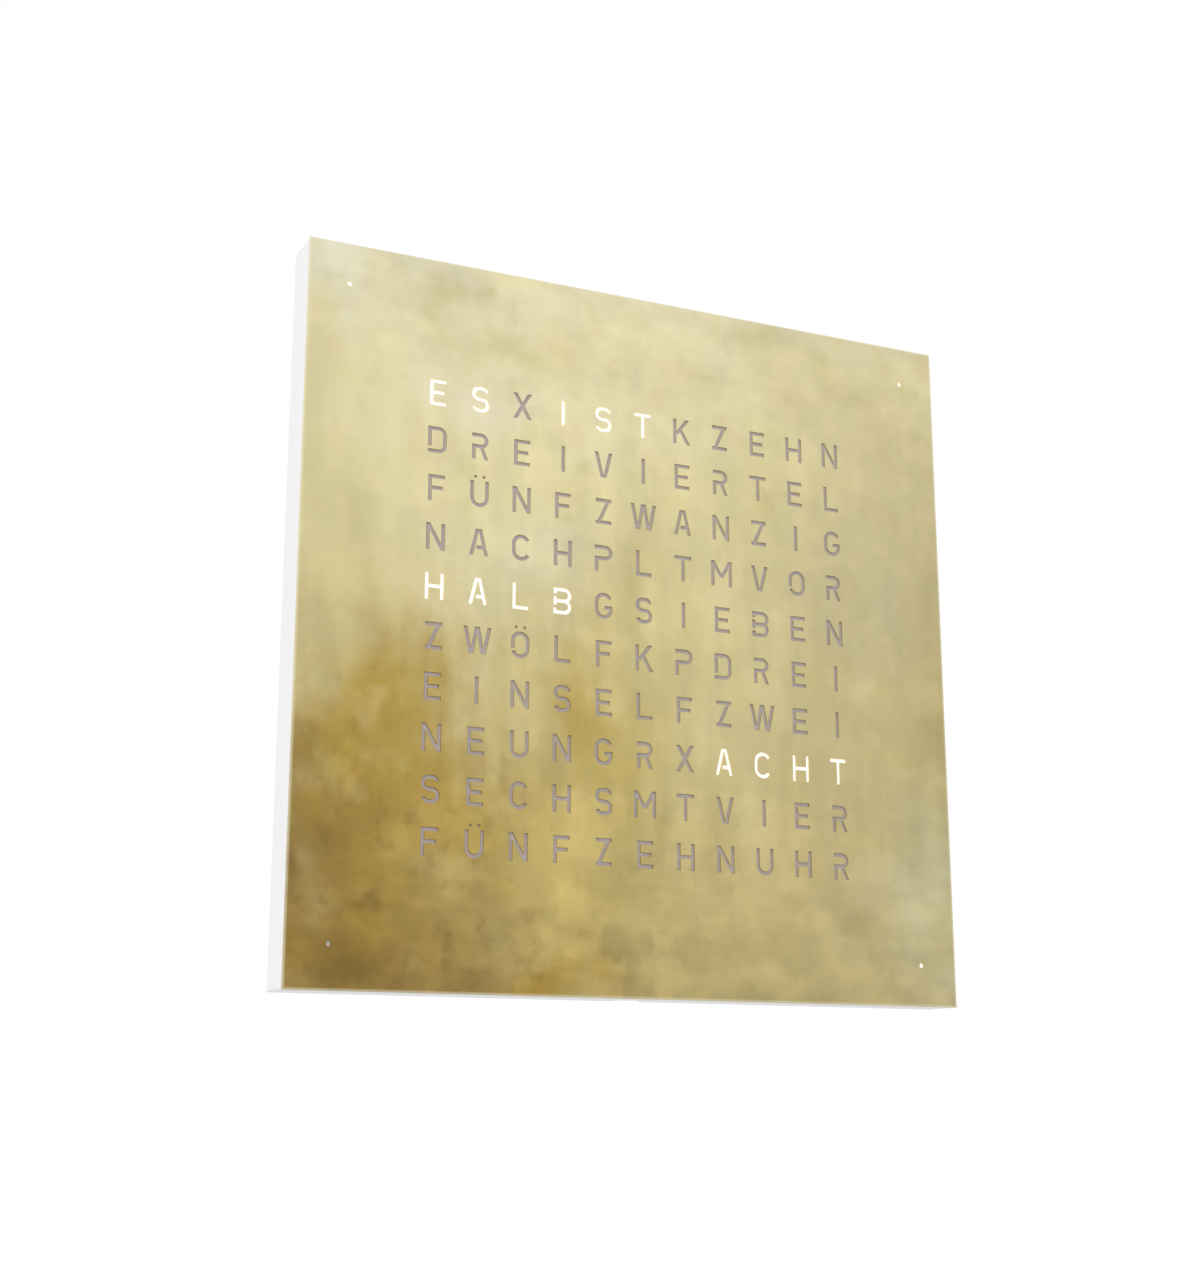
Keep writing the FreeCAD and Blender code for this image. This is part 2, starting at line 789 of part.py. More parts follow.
link_x = grid_half_x / 2
link_half = (pitch_z - row_board_height) / 2 + ribbon_overlap
link_z = [(high + low) / 2 for high, low in zip(row_z, row_z[1:])]
save("row_links", group([ribbon(link_x, z - link_half, z + link_half, ribbon_width) for z in link_z]))
ribbon_low = controller_top - 2 * ribbon_overlap
ribbon_high = row_z[-1] - row_board_height / 2 + ribbon_overlap
save("main_ribbon", ribbon(link_x / 2, ribbon_low, ribbon_high, 2 * ribbon_width))


def triple_lead(start, end):
    """A straight flat lead with three round cores side by side."""
    way = end - start
    side = V(0, 0, 1) if abs(way.x) > abs(way.z) else V(1, 0, 0)
    pitch = 2 * core_radius * lead_core_lap
    cores = [Part.makeCylinder(core_radius, way.Length, start + side * (k * pitch), way) for k in (-1, 0, 1)]
    return cores[0].multiFuse(cores[1:])


lead_y = board_back + core_radius + core_clearance
minute_leads = []
for sx in (-1, 1):
    low = V(sx * channel_place, lead_y, -channel_place)
    high = V(sx * channel_place, lead_y, channel_place - lead_end_gap)
    minute_leads.append(triple_lead(low, high))
    inner = V(sx * (controller_half_width - lead_lap), lead_y, -channel_place)
    outer = V(sx * (channel_place - 4 * core_radius), lead_y, -channel_place)
    minute_leads.append(triple_lead(inner, outer))
save("minute_leads", group(minute_leads))


# ---------------------------------------------------------------- controller board

socket_back_z = well_top + socket_length
socket_front_z = well_top - well_wall
part_z = (controller_top + controller_bottom) / 2


def make_controller_board():
    half = controller_half_width
    board = box(-half, half, board_front, board_back, controller_bottom, controller_top)
    high = well_top + well_play
    ahead = board_front - 1
    behind = board_back + 1
    board = board.cut(box(-well_space, well_space, ahead, behind, controller_bottom - 1, high))
    return drill(board, controller_screws)


save("controller_board", make_controller_board())


def leaded_chip(x, size, count, pitch, both_ways):
    """A moulded chip with rows of flat leads, on two or on all four of its sides."""
    width, depth, height = size
    lead = 0.4 * pitch
    low = height / 3
    leads = []
    for k in range(count):
        offset = (k - (count - 1) / 2) * pitch
        leads.append(chip(x, part_z + offset, width + 2 * lead_reach, lead, low))
        if both_ways:
            leads.append(chip(x + offset, part_z, lead, depth + 2 * lead_reach, low))
    return chip(x, part_z, width, depth, height).multiFuse(leads).removeSplitter()


cell_x = cell_inset - controller_half_width
driver_end = driver_x[-1] - driver_size[0] / 2 - lead_reach
processor_x = (cell_x + holder_half + driver_end) / 2
processor_size = (processor_side, processor_side, processor_height)
save("microcontroller", leaded_chip(processor_x, processor_size, lead_count, lead_pitch, True))
save("led_drivers", group([
    leaded_chip(x, driver_size, driver_lead_count, driver_lead_pitch, False) for x in driver_x
]))
crystal_left = processor_x - crystal_length / 2
save("crystal", rod_x(
    crystal_radius, board_front - crystal_radius - crystal_lift, part_z - crystal_drop,
    crystal_left, crystal_left + crystal_length,
))


def make_regulator():
    """A power package with a flat tab below its body."""
    width, depth, height = regulator_size
    tab_width, tab_depth, tab_height = regulator_tab
    body = chip(regulator_x, part_z + depth, width, depth, height)
    tab_z = part_z + (depth - tab_depth) / 2 + regulator_tab_rise
    tab = chip(regulator_x, tab_z, tab_width, tab_depth, tab_height)
    return body.fuse(tab).removeSplitter()


save("regulator", make_regulator())
inductor_half = inductor_side / 2
inductor_z = part_z + inductor_rise
save("inductor", rounded_plate(
    inductor_x - inductor_half, inductor_x + inductor_half, board_front - inductor_height, board_front,
    inductor_z - inductor_half, inductor_z + inductor_half, inductor_corner,
))
power_capacitor_z = part_z + power_capacitor_rise
save("power_capacitors", group([
    rod(power_capacitor_radius, x, power_capacitor_z, board_front - power_capacitor_height, board_front)
    for x in power_capacitor_x
]))

cell_front = board_front - cell_floor - cell_thick
holder_low = part_z - cell_radius - holder_foot
post_high = part_z - cell_radius - 0.2 * holder_foot


def make_cell_holder():
    """A tray for the coin cell with a sprung arm across its face."""
    base = box(
        cell_x - holder_half, cell_x + holder_half, board_front - cell_floor, board_front,
        holder_low, part_z + 0.7 * cell_radius,
    )
    arm_front = cell_front - arm_thick
    arm_left = cell_x - arm_half
    arm_right = cell_x + arm_half
    arm = box(arm_left, arm_right, arm_front, cell_front, holder_low, part_z + 0.4 * cell_radius)
    post = box(arm_left, arm_right, arm_front, board_front, holder_low, post_high)
    return base.fuse(arm).fuse(post).removeSplitter()


save("coin_cell_holder", make_cell_holder())
cell = rod(cell_radius, cell_x, part_z, cell_front, cell_front + cell_thick)
save("coin_cell", cell.makeChamfer(cell_edge, [e for e in cell.Edges if e.BoundBox.YLength < 0.01]))


# ---------------------------------------------------------------- push-buttons

switch_back = board_back + switch_height
flange_front = cover_front - button_flange_thick
nose_depth = button_travel + nose_seat
nose_hole = nose_depth + button_travel + nose_end_gap


def tact_switch(x):
    half = switch_side / 2
    body = box(x - half, x + half, board_back, switch_back, button_z - half, button_z + half)
    hole = rod(button_nose_radius + button_gap, x, button_z, switch_back - nose_hole, switch_back + 1)
    return body.cut(hole)


def button_cap(x):
    """A round cap behind the rear cover, with a flange and a nose in its switch."""
    stem_back = cover_back + button_proud
    stem_part = rod(button_radius, x, button_z, cover_front, stem_back)
    rim = [e for e in stem_part.Edges if e.BoundBox.YMin > stem_back - 0.01]
    stem_part = stem_part.makeFillet(button_edge_radius, rim)
    flange = rod(button_flange_radius, x, button_z, flange_front, cover_front)
    nose = rod(button_nose_radius, x, button_z, switch_back - nose_depth, flange_front)
    return stem_part.fuse(flange).fuse(nose).removeSplitter()


save("tact_switches", group([tact_switch(x) for x in button_x]))
for name, x in zip(("hour_button", "minute_button", "light_button"), button_x):
    save(name, button_cap(x))


# ---------------------------------------------------------------- power socket and plug tray

def make_socket():
    half = socket_half_width
    body = box(-half, half, board_back, board_back + socket_height, socket_front_z, socket_back_z)
    return body.cut(rod_z(socket_bore_radius, 0, socket_axis, socket_front_z - 1, pin_root))


pin_root = socket_front_z + socket_bore_depth
save("dc_socket", make_socket())
save("dc_socket_pin", rod_z(socket_pin_radius, 0, socket_axis, pin_root - socket_pin_proud, pin_root))


def make_plug_well():
    """A shallow tray open at the back and towards the cord notch."""
    outer = box(-well_half_width, well_half_width, board_front, cover_front, -panel_half, well_top)
    behind = cover_front + 1
    inner_top = well_top - well_wall
    inner = box(-channel_half, channel_half, channel_front, behind, -panel_half - 1, inner_top)
    gap = socket_half_width + gate_play
    gate = box(-gap, gap, channel_front, behind, inner_top - 1, well_top + 1)
    return outer.cut(inner).cut(gate)


save("plug_well", make_plug_well())


# ---------------------------------------------------------------- time signal receiver

ferrite_y = panel_back - antenna_pocket_depth / 2
ferrite_z = (antenna_low + antenna_high) / 2
ferrite_centre_x = antenna_pocket_left + ferrite_place
ferrite_left = ferrite_centre_x - ferrite_length / 2
save("ferrite_rod", rod_x(ferrite_radius, ferrite_y, ferrite_z, ferrite_left, ferrite_left + ferrite_length))
coil_left = ferrite_centre_x - coil_length / 2
coil = rod_x(coil_radius, ferrite_y, ferrite_z, coil_left, coil_left + coil_length)
hollow = rod_x(ferrite_radius + rod_play, ferrite_y, ferrite_z, coil_left - 1, coil_left + coil_length + 1)
save("antenna_coil", coil.cut(hollow))


def antenna_holder(x):
    """A block on the pocket's floor that the rod passes through."""
    reach = ferrite_radius + holder_wall
    block = box(
        x - holder_width / 2, x + holder_width / 2, antenna_pocket_front, ferrite_y + reach,
        ferrite_z - reach, ferrite_z + reach,
    )
    bore_radius = ferrite_radius + rod_play
    return block.cut(rod_x(bore_radius, ferrite_y, ferrite_z, x - holder_width, x + holder_width))


save("antenna_holders", group([
    antenna_holder(ferrite_left + holder_inset), antenna_holder(ferrite_left + ferrite_length - holder_inset)
]))
radio_w, radio_h = radio_board_side
radio = box(
    radio_x - radio_w / 2, radio_x + radio_w / 2, antenna_pocket_front, antenna_pocket_front + board_thick,
    radio_z - radio_h / 2, radio_z + radio_h / 2,
)
save("radio_board", radio)


def make_antenna_lead():
    """The receiver's lead: down beside the row boards and across to the controller."""
    high = radio_z - radio_h / 2 + antenna_lead_lap
    turn_z = controller_top - antenna_lead_drop
    end_x = controller_half_width - antenna_lead_lap
    y = board_back + lead_radius + antenna_lead_lift
    slope = math.sqrt(0.5) * lead_bend
    bend = Part.Arc(
        V(lead_x, y, turn_z + lead_bend),
        V(lead_x - lead_bend + slope, y, turn_z + lead_bend - slope),
        V(lead_x - lead_bend, y, turn_z),
    ).toShape()
    down = Part.makeLine(V(lead_x, y, high), V(lead_x, y, turn_z + lead_bend))
    across = Part.makeLine(V(lead_x - lead_bend, y, turn_z), V(end_x, y, turn_z))
    route = Part.Wire([down, bend, across])
    section = Part.Wire([Part.Circle(V(lead_x, y, high), V(0, 0, 1), lead_radius).toShape()])
    return route.makePipeShell([section], True, False)


save("antenna_lead", make_antenna_lead())


# ---------------------------------------------------------------- rear cover

rear_half = ledge_edge - panel_gap
hanger_screw_z = (hanger_top + bracket_top + hanger_web) / 2
hanger_screws = [(x, hanger_screw_z) for x in hanger_screw_x]
vent_offsets = [(k - (vent_count - 1) / 2) * vent_pitch for k in range(vent_count)]


def slot(x, z, width, length, y0, y1):
    """An upright slot with round ends."""
    straight = length - width
    parts = [rod(width / 2, x, z + s * straight / 2, y0, y1) for s in (-1, 1)]
    return box(x - width / 2, x + width / 2, y0, y1, z - straight / 2, z + straight / 2).multiFuse(parts)


def make_rear_cover():
    cover = box(-rear_half, rear_half, cover_front, cover_back, -rear_half, rear_half)
    ahead = cover_front - 1
    behind = cover_back + 1
    body = socket_half_width + well_play
    cuts = [
        box(-channel_half, channel_half, ahead, behind, -rear_half - 1, well_top - well_wall),
        box(-body, body, ahead, behind, well_top - well_wall - 1, socket_back_z + well_play),
    ]
    cuts += [rod(button_radius + button_gap, x, button_z, ahead, behind) for x in button_x]
    cuts += [rod(m3 + hole_play, x, z, ahead, behind) for x, z in frame_screws + panel_screws]
    cuts += [pilot(m4, x, z, cover_back, 2 * rear_cover_thick) for x, z in hanger_screws]
    cuts += [
        slot(s * vent_middle + offset, vent_z, vent_width, vent_length, ahead, behind)
        for s in (-1, 1) for offset in vent_offsets
    ]
    return cover.cut(cuts)


save("rear_cover", make_rear_cover())
save("rear_cover_screws", group([
    pan_screw(m3, x, z, cover_back, cover_screw_length) for x, z in frame_screws + panel_screws
]))
save("board_screws", group([pan_screw(m2, x, z, board_back, board_screw_length) for x, z in board_screws]))


# ---------------------------------------------------------------- wall fixing

hanger_front = cover_back
hanger_back = hanger_front + hanger_thick
hook_back = -hook_wall_gap
hook_front = hook_back - hook_thick
web_top = bracket_top + hanger_web


def make_hanger():
    """A rail with a lip that drops behind the bracket's raised lip."""
    bar_x = hanger_half_width
    rail = profile_along_x([
        (hanger_front, bracket_step_z), (hanger_front, hanger_top), (hanger_back, hanger_top),
        (hanger_back, web_top), (hook_back, web_top), (hook_back, bracket_top - hook_drop),
        (hook_front, bracket_top - hook_drop), (hook_front, bracket_top), (hanger_back, bracket_top),
        (hanger_back, bracket_step_z),
    ], -bar_x, bar_x)
    return rail.cut([rod(m4 + hole_play, x, z, hanger_front - 1, hanger_back + 1) for x, z in hanger_screws])


def make_bracket():
    """A steel plate on the wall with its top edge stepped away from the wall."""
    half = bracket_half_width
    back = bracket_thick
    lip_front = -bracket_offset - bracket_thick
    lip_back = -bracket_offset
    under_step = bracket_step_z - back
    plate = profile_along_x([
        (0, bracket_bottom), (0, bracket_step_z), (lip_back, bracket_step_z), (lip_back, bracket_top),
        (lip_front, bracket_top), (lip_front, under_step), (-back, under_step), (-back, bracket_bottom),
    ], -half, half)
    lower = [
        e for e in plate.Edges
        if e.BoundBox.ZMax < bracket_bottom + 0.01 and e.BoundBox.XLength < 0.01
    ]
    plate = plate.makeFillet(bracket_corner, lower)
    holes = [(sx * wall_hole_x, sz * wall_hole_z) for sx, sz in corners]
    return plate.cut([rod(wall_hole_radius, x, z, -back - 1, 1) for x, z in holes])


save("hanger_rail", make_hanger())
save("hanger_screws", group([
    pan_screw(m4, x, z, hanger_back, hanger_screw_length) for x, z in hanger_screws
]))
save("wall_bracket", make_bracket())

print("letters", sum(len(r) for r in word_rows), "distinct", len(outlines))
print("pieces", len(os.listdir("parts")))
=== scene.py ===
# %% [markdown]
# # Dressing a word clock
#
# A word clock tells the time in lit words. This one is a square sheet of brass with cut-out
# letters on a shallow white casing. The solid parts arrive ready made, as a fixed frame,
# and every cell below adds something that can be seen: the bloom of old brass, the glow
# behind the letters, lacquer, plated steel, circuit boards and wound wire.
#
# Everything is in metres. X runs to the right as seen from the front, Z is up, the wall is
# the plane y = 0 and the front faces -Y.

# %% Load the clock's solid parts
import math

import bmesh
import bpy
from mathutils import Matrix, Vector


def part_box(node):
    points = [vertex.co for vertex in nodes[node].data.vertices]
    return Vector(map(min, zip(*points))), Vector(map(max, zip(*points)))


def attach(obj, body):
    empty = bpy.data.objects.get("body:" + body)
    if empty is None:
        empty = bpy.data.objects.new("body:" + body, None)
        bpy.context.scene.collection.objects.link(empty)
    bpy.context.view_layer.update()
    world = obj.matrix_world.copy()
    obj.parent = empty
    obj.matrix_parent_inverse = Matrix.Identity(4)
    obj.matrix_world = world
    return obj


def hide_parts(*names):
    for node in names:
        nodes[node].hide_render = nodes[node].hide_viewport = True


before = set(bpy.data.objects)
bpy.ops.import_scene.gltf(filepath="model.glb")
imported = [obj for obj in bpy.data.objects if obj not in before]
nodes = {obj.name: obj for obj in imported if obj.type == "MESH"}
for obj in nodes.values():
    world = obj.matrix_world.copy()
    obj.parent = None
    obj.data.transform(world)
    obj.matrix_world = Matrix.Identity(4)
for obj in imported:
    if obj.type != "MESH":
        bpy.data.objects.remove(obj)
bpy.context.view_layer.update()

# %% [markdown]
# ## Measuring before making
#
# Patterns such as the glow behind a letter have to line up with the real parts. They could
# be placed by typed numbers, but those go stale when a part changes. So the middle and the
# size of each part are read from the frame, and the letter grid is worked out from them.

# %% Measuring tape
def middle(node):
    """The centre of a part."""
    low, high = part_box(node)
    return (low + high) / 2


def size(node):
    """How long a part is along X, Y and Z."""
    low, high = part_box(node)
    return high - low


HAIR = 0.0001

clock_half = size("front_plate").x / 2
print("half the clock's side:", round(clock_half, 4), "a hair's breadth:", HAIR)

# %% The letter grid, from its boards and its diodes
COLUMNS = 11
ROWS = 10
DIODE_SIDE = 0.005

column_pitch = (size("letter_leds").x - DIODE_SIDE) / (COLUMNS - 1)
row_pitch = (size("letter_leds").z - DIODE_SIDE) / (ROWS - 1)
grid_half = Vector((COLUMNS * column_pitch / 2, 0, ROWS * row_pitch / 2))
dot_place = (size("minute_leds").x - DIODE_SIDE) / 2
print("letter pitch:", round(column_pitch, 5), round(row_pitch, 5), "dots at:", round(dot_place, 4))

# %% [markdown]
# ## Shader maths as plain sums
#
# A material in Blender is a graph of nodes. Built by hand in Python, even a small sum takes
# many lines of nodes and links. The classes below let a sum be written as a sum: a Value
# wraps the output of a node, and adding, multiplying or comparing Values adds the Math
# nodes. Any other node comes from one method, `node`.

# %% A value that runs through a material
class Value:
    """The output of a node, which can take part in sums."""

    def __init__(self, finish, output):
        self.finish = finish
        self.output = output

    def maths(self, operation, *values):
        return self.finish.node("Math", {"operation": operation}, dict(enumerate(values)))

    def __add__(self, other):
        return self.maths("ADD", self, other)

    def __sub__(self, other):
        return self.maths("SUBTRACT", self, other)

    def __rsub__(self, other):
        return self.maths("SUBTRACT", other, self)

    def __mul__(self, other):
        return self.maths("MULTIPLY", self, other)

    def __truediv__(self, other):
        return self.maths("DIVIDE", self, other)

    def __rpow__(self, other):
        return self.maths("POWER", other, self)

    def __mod__(self, other):
        return self.maths("FLOORED_MODULO", self, other)

    def __gt__(self, other):
        return self.maths("GREATER_THAN", self, other)

    def __lt__(self, other):
        return self.maths("LESS_THAN", self, other)

    def __abs__(self):
        return self.maths("ABSOLUTE", self)

    __radd__ = __add__
    __rmul__ = __mul__

    def either(self, other):
        """The larger of two values: one mask or the other."""
        return self.maths("MAXIMUM", self, other)

    def ramp(self, start, end):
        """Runs smoothly from 0 at start to 1 at end."""
        limits = {"Value": self, "From Min": start, "From Max": end}
        return self.finish.node("MapRange", {"interpolation_type": "SMOOTHSTEP"}, limits)

    def between(self, low, high):
        """1 where the value lies between two limits, and 0 elsewhere."""
        return (self > low) * (self < high)


print("sums ready:", [name for name in vars(Value) if name.startswith("__r")])

# %% A tree of nodes, for a material or for the sky
class Recipe:
    """A tree of nodes, with short ways to add to it."""

    def __init__(self, tree):
        self.tree = tree

    def feed(self, node, values):
        """Sets or links sockets of a node, by name or by number."""
        for name, value in values.items():
            socket = node.inputs[name.replace("_", " ") if isinstance(name, str) else name]
            if isinstance(value, Value):
                self.tree.links.new(value.output, socket)
            else:
                socket.default_value = value

    def node(self, kind, settings=None, values=None, output=0):
        """Adds a node of a kind, with its settings first and then its sockets."""
        made = self.tree.nodes.new("ShaderNode" + kind)
        for name, value in (settings or {}).items():
            if name == "stops":
                self.set_stops(made.color_ramp, value)
            else:
                setattr(made, name, value)
        self.feed(made, values or {})
        return Value(self, made.outputs[output])

    def set_stops(self, ramp, stops):
        """Puts a colour at each place along a ramp."""
        for _ in stops[2:]:
            ramp.elements.new(1.0)
        for element, (place, colour) in zip(ramp.elements, stops):
            element.position = place
            element.color = colour

    def place(self):
        """The point on the object, and its three coordinates as Values."""
        point = self.node("TexCoord", output="Object")
        return point, *(self.node("SeparateXYZ", values={0: point}, output=axis) for axis in "XYZ")

    def mix(self, share, first, second):
        """One colour shading into another."""
        return self.node("Mix", {"data_type": "RGBA"}, {0: share, 6: first, 7: second}, output=2)

    def shade(self, colour, factor):
        """A colour made lighter or darker."""
        start = colour if isinstance(colour, Value) else colour[:3]
        return self.node("VectorMath", {"operation": "SCALE"}, {0: start, "Scale": factor})

    def noise(self, point, scale, detail=3.0, stretch=(1, 1, 1)):
        """Cloudy noise from 0 to 1. A stretch under 1 draws it out along that axis."""
        drawn = self.node("Mapping", values={"Vector": point, "Scale": stretch})
        return self.node("TexNoise", values={"Vector": drawn, "Scale": scale, "Detail": detail})


print("recipes can add:", [name for name in vars(Recipe) if not name.startswith("_")])

# %% A material and its shader
class Finish(Recipe):
    """One material: a recipe that ends in a shader."""

    def __init__(self, name, **constants):
        self.material = bpy.data.materials.new(name)
        self.material.use_nodes = True
        super().__init__(self.material.node_tree)
        self.shader = self.tree.nodes["Principled BSDF"]
        self.feed(self.shader, constants)

    def surface(self, **values):
        """Feeds what changes over the surface into the shader."""
        self.feed(self.shader, values)

    def relief(self, height, strength, depth):
        """Bumps from a height Value. Depth is how far full height stands out, in metres."""
        values = {"Height": height, "Strength": strength, "Distance": depth}
        self.surface(Normal=self.node("Bump", values=values))


print("a finish also has:", [name for name in vars(Finish) if not name.startswith("_")])

# %% [markdown]
# Colours are easiest to judge as they look on a screen, but shaders work with linear light.
# This helper turns one into the other, so that colours can be written in screen values.

# %% Screen colours
def tint(red, green, blue):
    """A screen colour, each part from 0 to 255, as the linear colour that shaders use."""
    def linear(part):
        part = part / 255
        return part / 12.92 if part <= 0.04045 else ((part + 0.055) / 1.055) ** 2.4

    return linear(red), linear(green), linear(blue), 1.0


print("mid grey in linear light:", round(tint(128, 128, 128)[0], 3))

# %% [markdown]
# ## Old brass
#
# The front is a thin brass sheet that was aged by hand. It is pale champagne at the top,
# turns to straw in the middle and to brown gold in the lower left corner. These tones are
# partly the patina and partly painted light and shade: the top is lighter and the lower
# left darker, as light falls on the sheet, and the right is painted darker as well. Over
# that lie soft clouds, wiped streaks and a few stains, and a painted highlight along the edges.
#
# An image could hold all this, but a sheet made of nodes stays sharp at any size. Broad
# tones come from smooth ramps and some thirty soft spots at named places, and the fine
# structure comes from noise at several scales.

# %% Tones of the brass
CHAMPAGNE = tint(230, 219, 175)
CREAM = tint(236, 229, 196)
CELERY = tint(228, 226, 203)
BUTTER = tint(236, 225, 168)
CITRON = tint(219, 207, 134)
STRAW = tint(217, 205, 152)
OAT = tint(214, 201, 148)
REED = tint(193, 179, 132)
SAND = tint(202, 185, 128)
BRAN = tint(196, 178, 120)
GOLD = tint(203, 180, 98)
OCHRE = tint(190, 164, 78)
HONEY = tint(182, 151, 62)
AMBER = tint(172, 136, 46)
WALNUT = tint(142, 111, 45)
UMBER = tint(122, 94, 38)
LICHEN = tint(204, 198, 160)
MOSS = tint(200, 190, 124)
SAGE = tint(204, 194, 146)
ASH = tint(202, 190, 160)
STONE = tint(178, 163, 106)
BISQUE = tint(222, 202, 154)
RAW_BRASS = tint(206, 184, 118)
for kind, tone in (("palest", CREAM), ("darkest", UMBER)):
    print(kind, "brass in linear light:", [round(part, 2) for part in tone[:3]])

# %% [markdown]
# The bands are a ramp from the foot of the sheet to its top. Each spot is a tone, its middle
# and its reach across and up, as shares of half the clock's side, and how strongly it covers
# what is under it. The last ones lie on top.

# %% Where the tones lie
# Dark at the foot and pale at the top: partly the patina, partly painted shade and light.
BANDS = ((0.0, BRAN), (0.20, SAND), (0.36, OAT), (0.56, STRAW), (0.80, CHAMPAGNE))
SPOTS = {
    # The dark walnut, honey and amber spots in the lower left are partly the patina and partly
    # painted shade.
    "walnut_corner": (WALNUT, (-0.92, -0.78), (0.48, 0.50), 0.95),
    "walnut_foot": (WALNUT, (-0.52, -0.98), (0.32, 0.16), 0.45),
    "walnut_edge": (WALNUT, (-0.86, -0.46), (0.24, 0.18), 0.80),
    "honey_shoulder": (HONEY, (-0.78, -0.25), (0.16, 0.22), 0.80),
    "amber_shoulder": (AMBER, (-0.65, -0.38), (0.13, 0.19), 0.50),
    "honey_waist": (HONEY, (-0.54, -0.60), (0.20, 0.16), 0.50),
    "pale_valley": (OAT, (-0.46, -0.16), (0.13, 0.28), 0.40),
    "pale_foot": (SAND, (-0.48, -0.78), (0.12, 0.12), 0.35),
    "ochre_veil": (OCHRE, (-0.60, -0.46), (0.32, 0.40), 0.26),
    "gold_heart": (GOLD, (-0.05, 0.02), (0.18, 0.22), 0.30),
    "gold_column": (GOLD, (-0.18, -0.42), (0.17, 0.46), 0.64),
    "amber_centre": (AMBER, (-0.16, -0.24), (0.09, 0.13), 0.50),
    "amber_foot": (AMBER, (-0.34, -0.91), (0.13, 0.12), 0.78),
    "stone_foot": (STONE, (0.09, -0.86), (0.11, 0.07), 0.40),
    "pale_edge": (OAT, (-0.95, -0.69), (0.06, 0.08), 0.20),
    "lichen_patch": (LICHEN, (0.90, -0.62), (0.15, 0.20), 0.80),
    "lichen_corner": (LICHEN, (0.98, -0.98), (0.14, 0.12), 0.60),
    "ash_side": (ASH, (0.85, 0.22), (0.30, 0.26), 0.35),
    "stone_side": (STONE, (0.95, -0.18), (0.13, 0.30), 0.60),
    "sand_foot": (SAND, (0.44, -0.92), (0.16, 0.12), 0.40),
    "moss_top": (MOSS, (-0.40, 0.84), (0.26, 0.08), 0.35),
    "moss_shoulder": (MOSS, (-0.76, 0.68), (0.16, 0.07), 0.40),
    "sage_side": (SAGE, (-0.96, 0.40), (0.12, 0.50), 0.60),
    "champagne_corner": (CHAMPAGNE, (0.90, 0.90), (0.42, 0.20), 0.60),
    "celery_corner": (CELERY, (-0.90, 0.95), (0.28, 0.13), 0.75),
    "celery_edge": (CELERY, (0.0, 1.0), (1.10, 0.06), 0.25),
    "cream_top": (CREAM, (0.30, 0.76), (0.10, 0.34), 0.28),
    "citron_patch": (CITRON, (0.33, 0.54), (0.15, 0.20), 0.35),
    "butter_waist": (BUTTER, (-0.06, 0.39), (0.50, 0.12), 0.42),
    "cream_shoulder": (CREAM, (-0.48, 0.68), (0.28, 0.14), 0.72),
    "cream_middle": (CREAM, (-0.40, 0.15), (0.30, 0.20), 0.55),
}


def soft_spot(across, up, centre, reach):
    """1 in the middle of an oval, fading away round it."""
    wide = (across - centre[0] * clock_half) / (reach[0] * clock_half)
    high = (up - centre[1] * clock_half) / (reach[1] * clock_half)
    return math.e ** (0 - (wide * wide + high * high))


print("bands:", len(BANDS), "spots:", len(SPOTS), "from", min(SPOTS), "to", max(SPOTS))

# %% Broad tones: bands from the foot up, painted shade towards the right, then the spots
# How strongly painted shade darkens the right of the sheet.
RIGHT_SHADE = 0.70


def brass_tones(brass, across, up):
    height = (up / clock_half + 1) / 2
    colour = brass.node("ValToRGB", {"stops": BANDS}, {0: height})
    to_the_right = across.ramp(0.10 * clock_half, 1.05 * clock_half)
    # Painted shade: the sheet darkens towards its right edge.
    colour = brass.mix(to_the_right * RIGHT_SHADE, colour, REED)
    for tone, centre, reach, strength in SPOTS.values():
        colour = brass.mix(soft_spot(across, up, centre, reach) * strength, colour, tone)
    return colour


# The right edge is darkest from painted shade.
print("the sheet is dullest at its right edge:", RIGHT_SHADE)

# %% [markdown]
# The fine structure is a set of marks. Each is noise with a scale of its own, the number of
# lumps along a metre, and a detail, how much finer structure they carry. Some are drawn out
# along X or Z, as a wiping cloth leaves them. In one table they are easy to compare: they
# run from drifts as wide as a hand to a grain as fine as a hair. A second table says how
# strongly each one shows. The upper left of the sheet is calm, its top and its foot less so.

# %% The marks: noise scale, detail and stretch
EVEN = (1, 1, 1)
MARKS = {
    "drift": (11, 5, EVEN),
    "swirl": (17, 6, EVEN),
    "clouds": (24, 6, EVEN),
    "islands": (28, 9, EVEN),
    "blush": (31, 4, EVEN),
    "olive": (37, 4, EVEN),
    "wiped_level": (50, 4, (0.35, 1, 1)),
    "wiped_upright": (58, 4, (1, 1, 0.18)),
    "stains": (60, 7, EVEN),
    "mottle": (80, 5, EVEN),
    "grain": (1400, 2, (1, 1, 0.03)),
}
SHOWS = {
    "clouds": 0.25, "clouds_at_ends": 0.12, "mottle": 0.14, "wiped": 0.26, "grain": 0.05,
    "islands": 0.05, "islands_low": 0.08, "blush": 0.30, "olive": 0.30, "stains": 0.40, "rim": 0.45,
}
LOW_UNREST = 1.1
WANDER = 0.14
WIPED_WANDER = 0.03
# The width of a painted highlight along the sheet's edges, which shows as strongly as "rim" in
# SHOWS.
EDGE_HIGHLIGHT = 0.0018
print("marks of the brass:", ", ".join(MARKS))

# %% Marks of the cloth that wiped the patina
LEVEL_FROM = 0.50
LEVEL_ABOVE = 0.80


def cloth_marks(noise, up):
    """Upright marks in the middle, level ones towards the top and the foot."""
    level = abs(up).ramp(LEVEL_FROM * clock_half, LEVEL_ABOVE * clock_half)
    upright = noise["wiped_upright"] - 0.5
    return upright * (1 - level) + (noise["wiped_level"] - 0.5) * level


def low_part(x, z):
    """1 at the foot of the sheet, less to its right, and 0 from the middle up."""
    foot = z.ramp(-0.2 * clock_half, -0.9 * clock_half)
    to_the_right = x.ramp(-0.1 * clock_half, 0.6 * clock_half)
    return foot * (1 - to_the_right * 0.6)


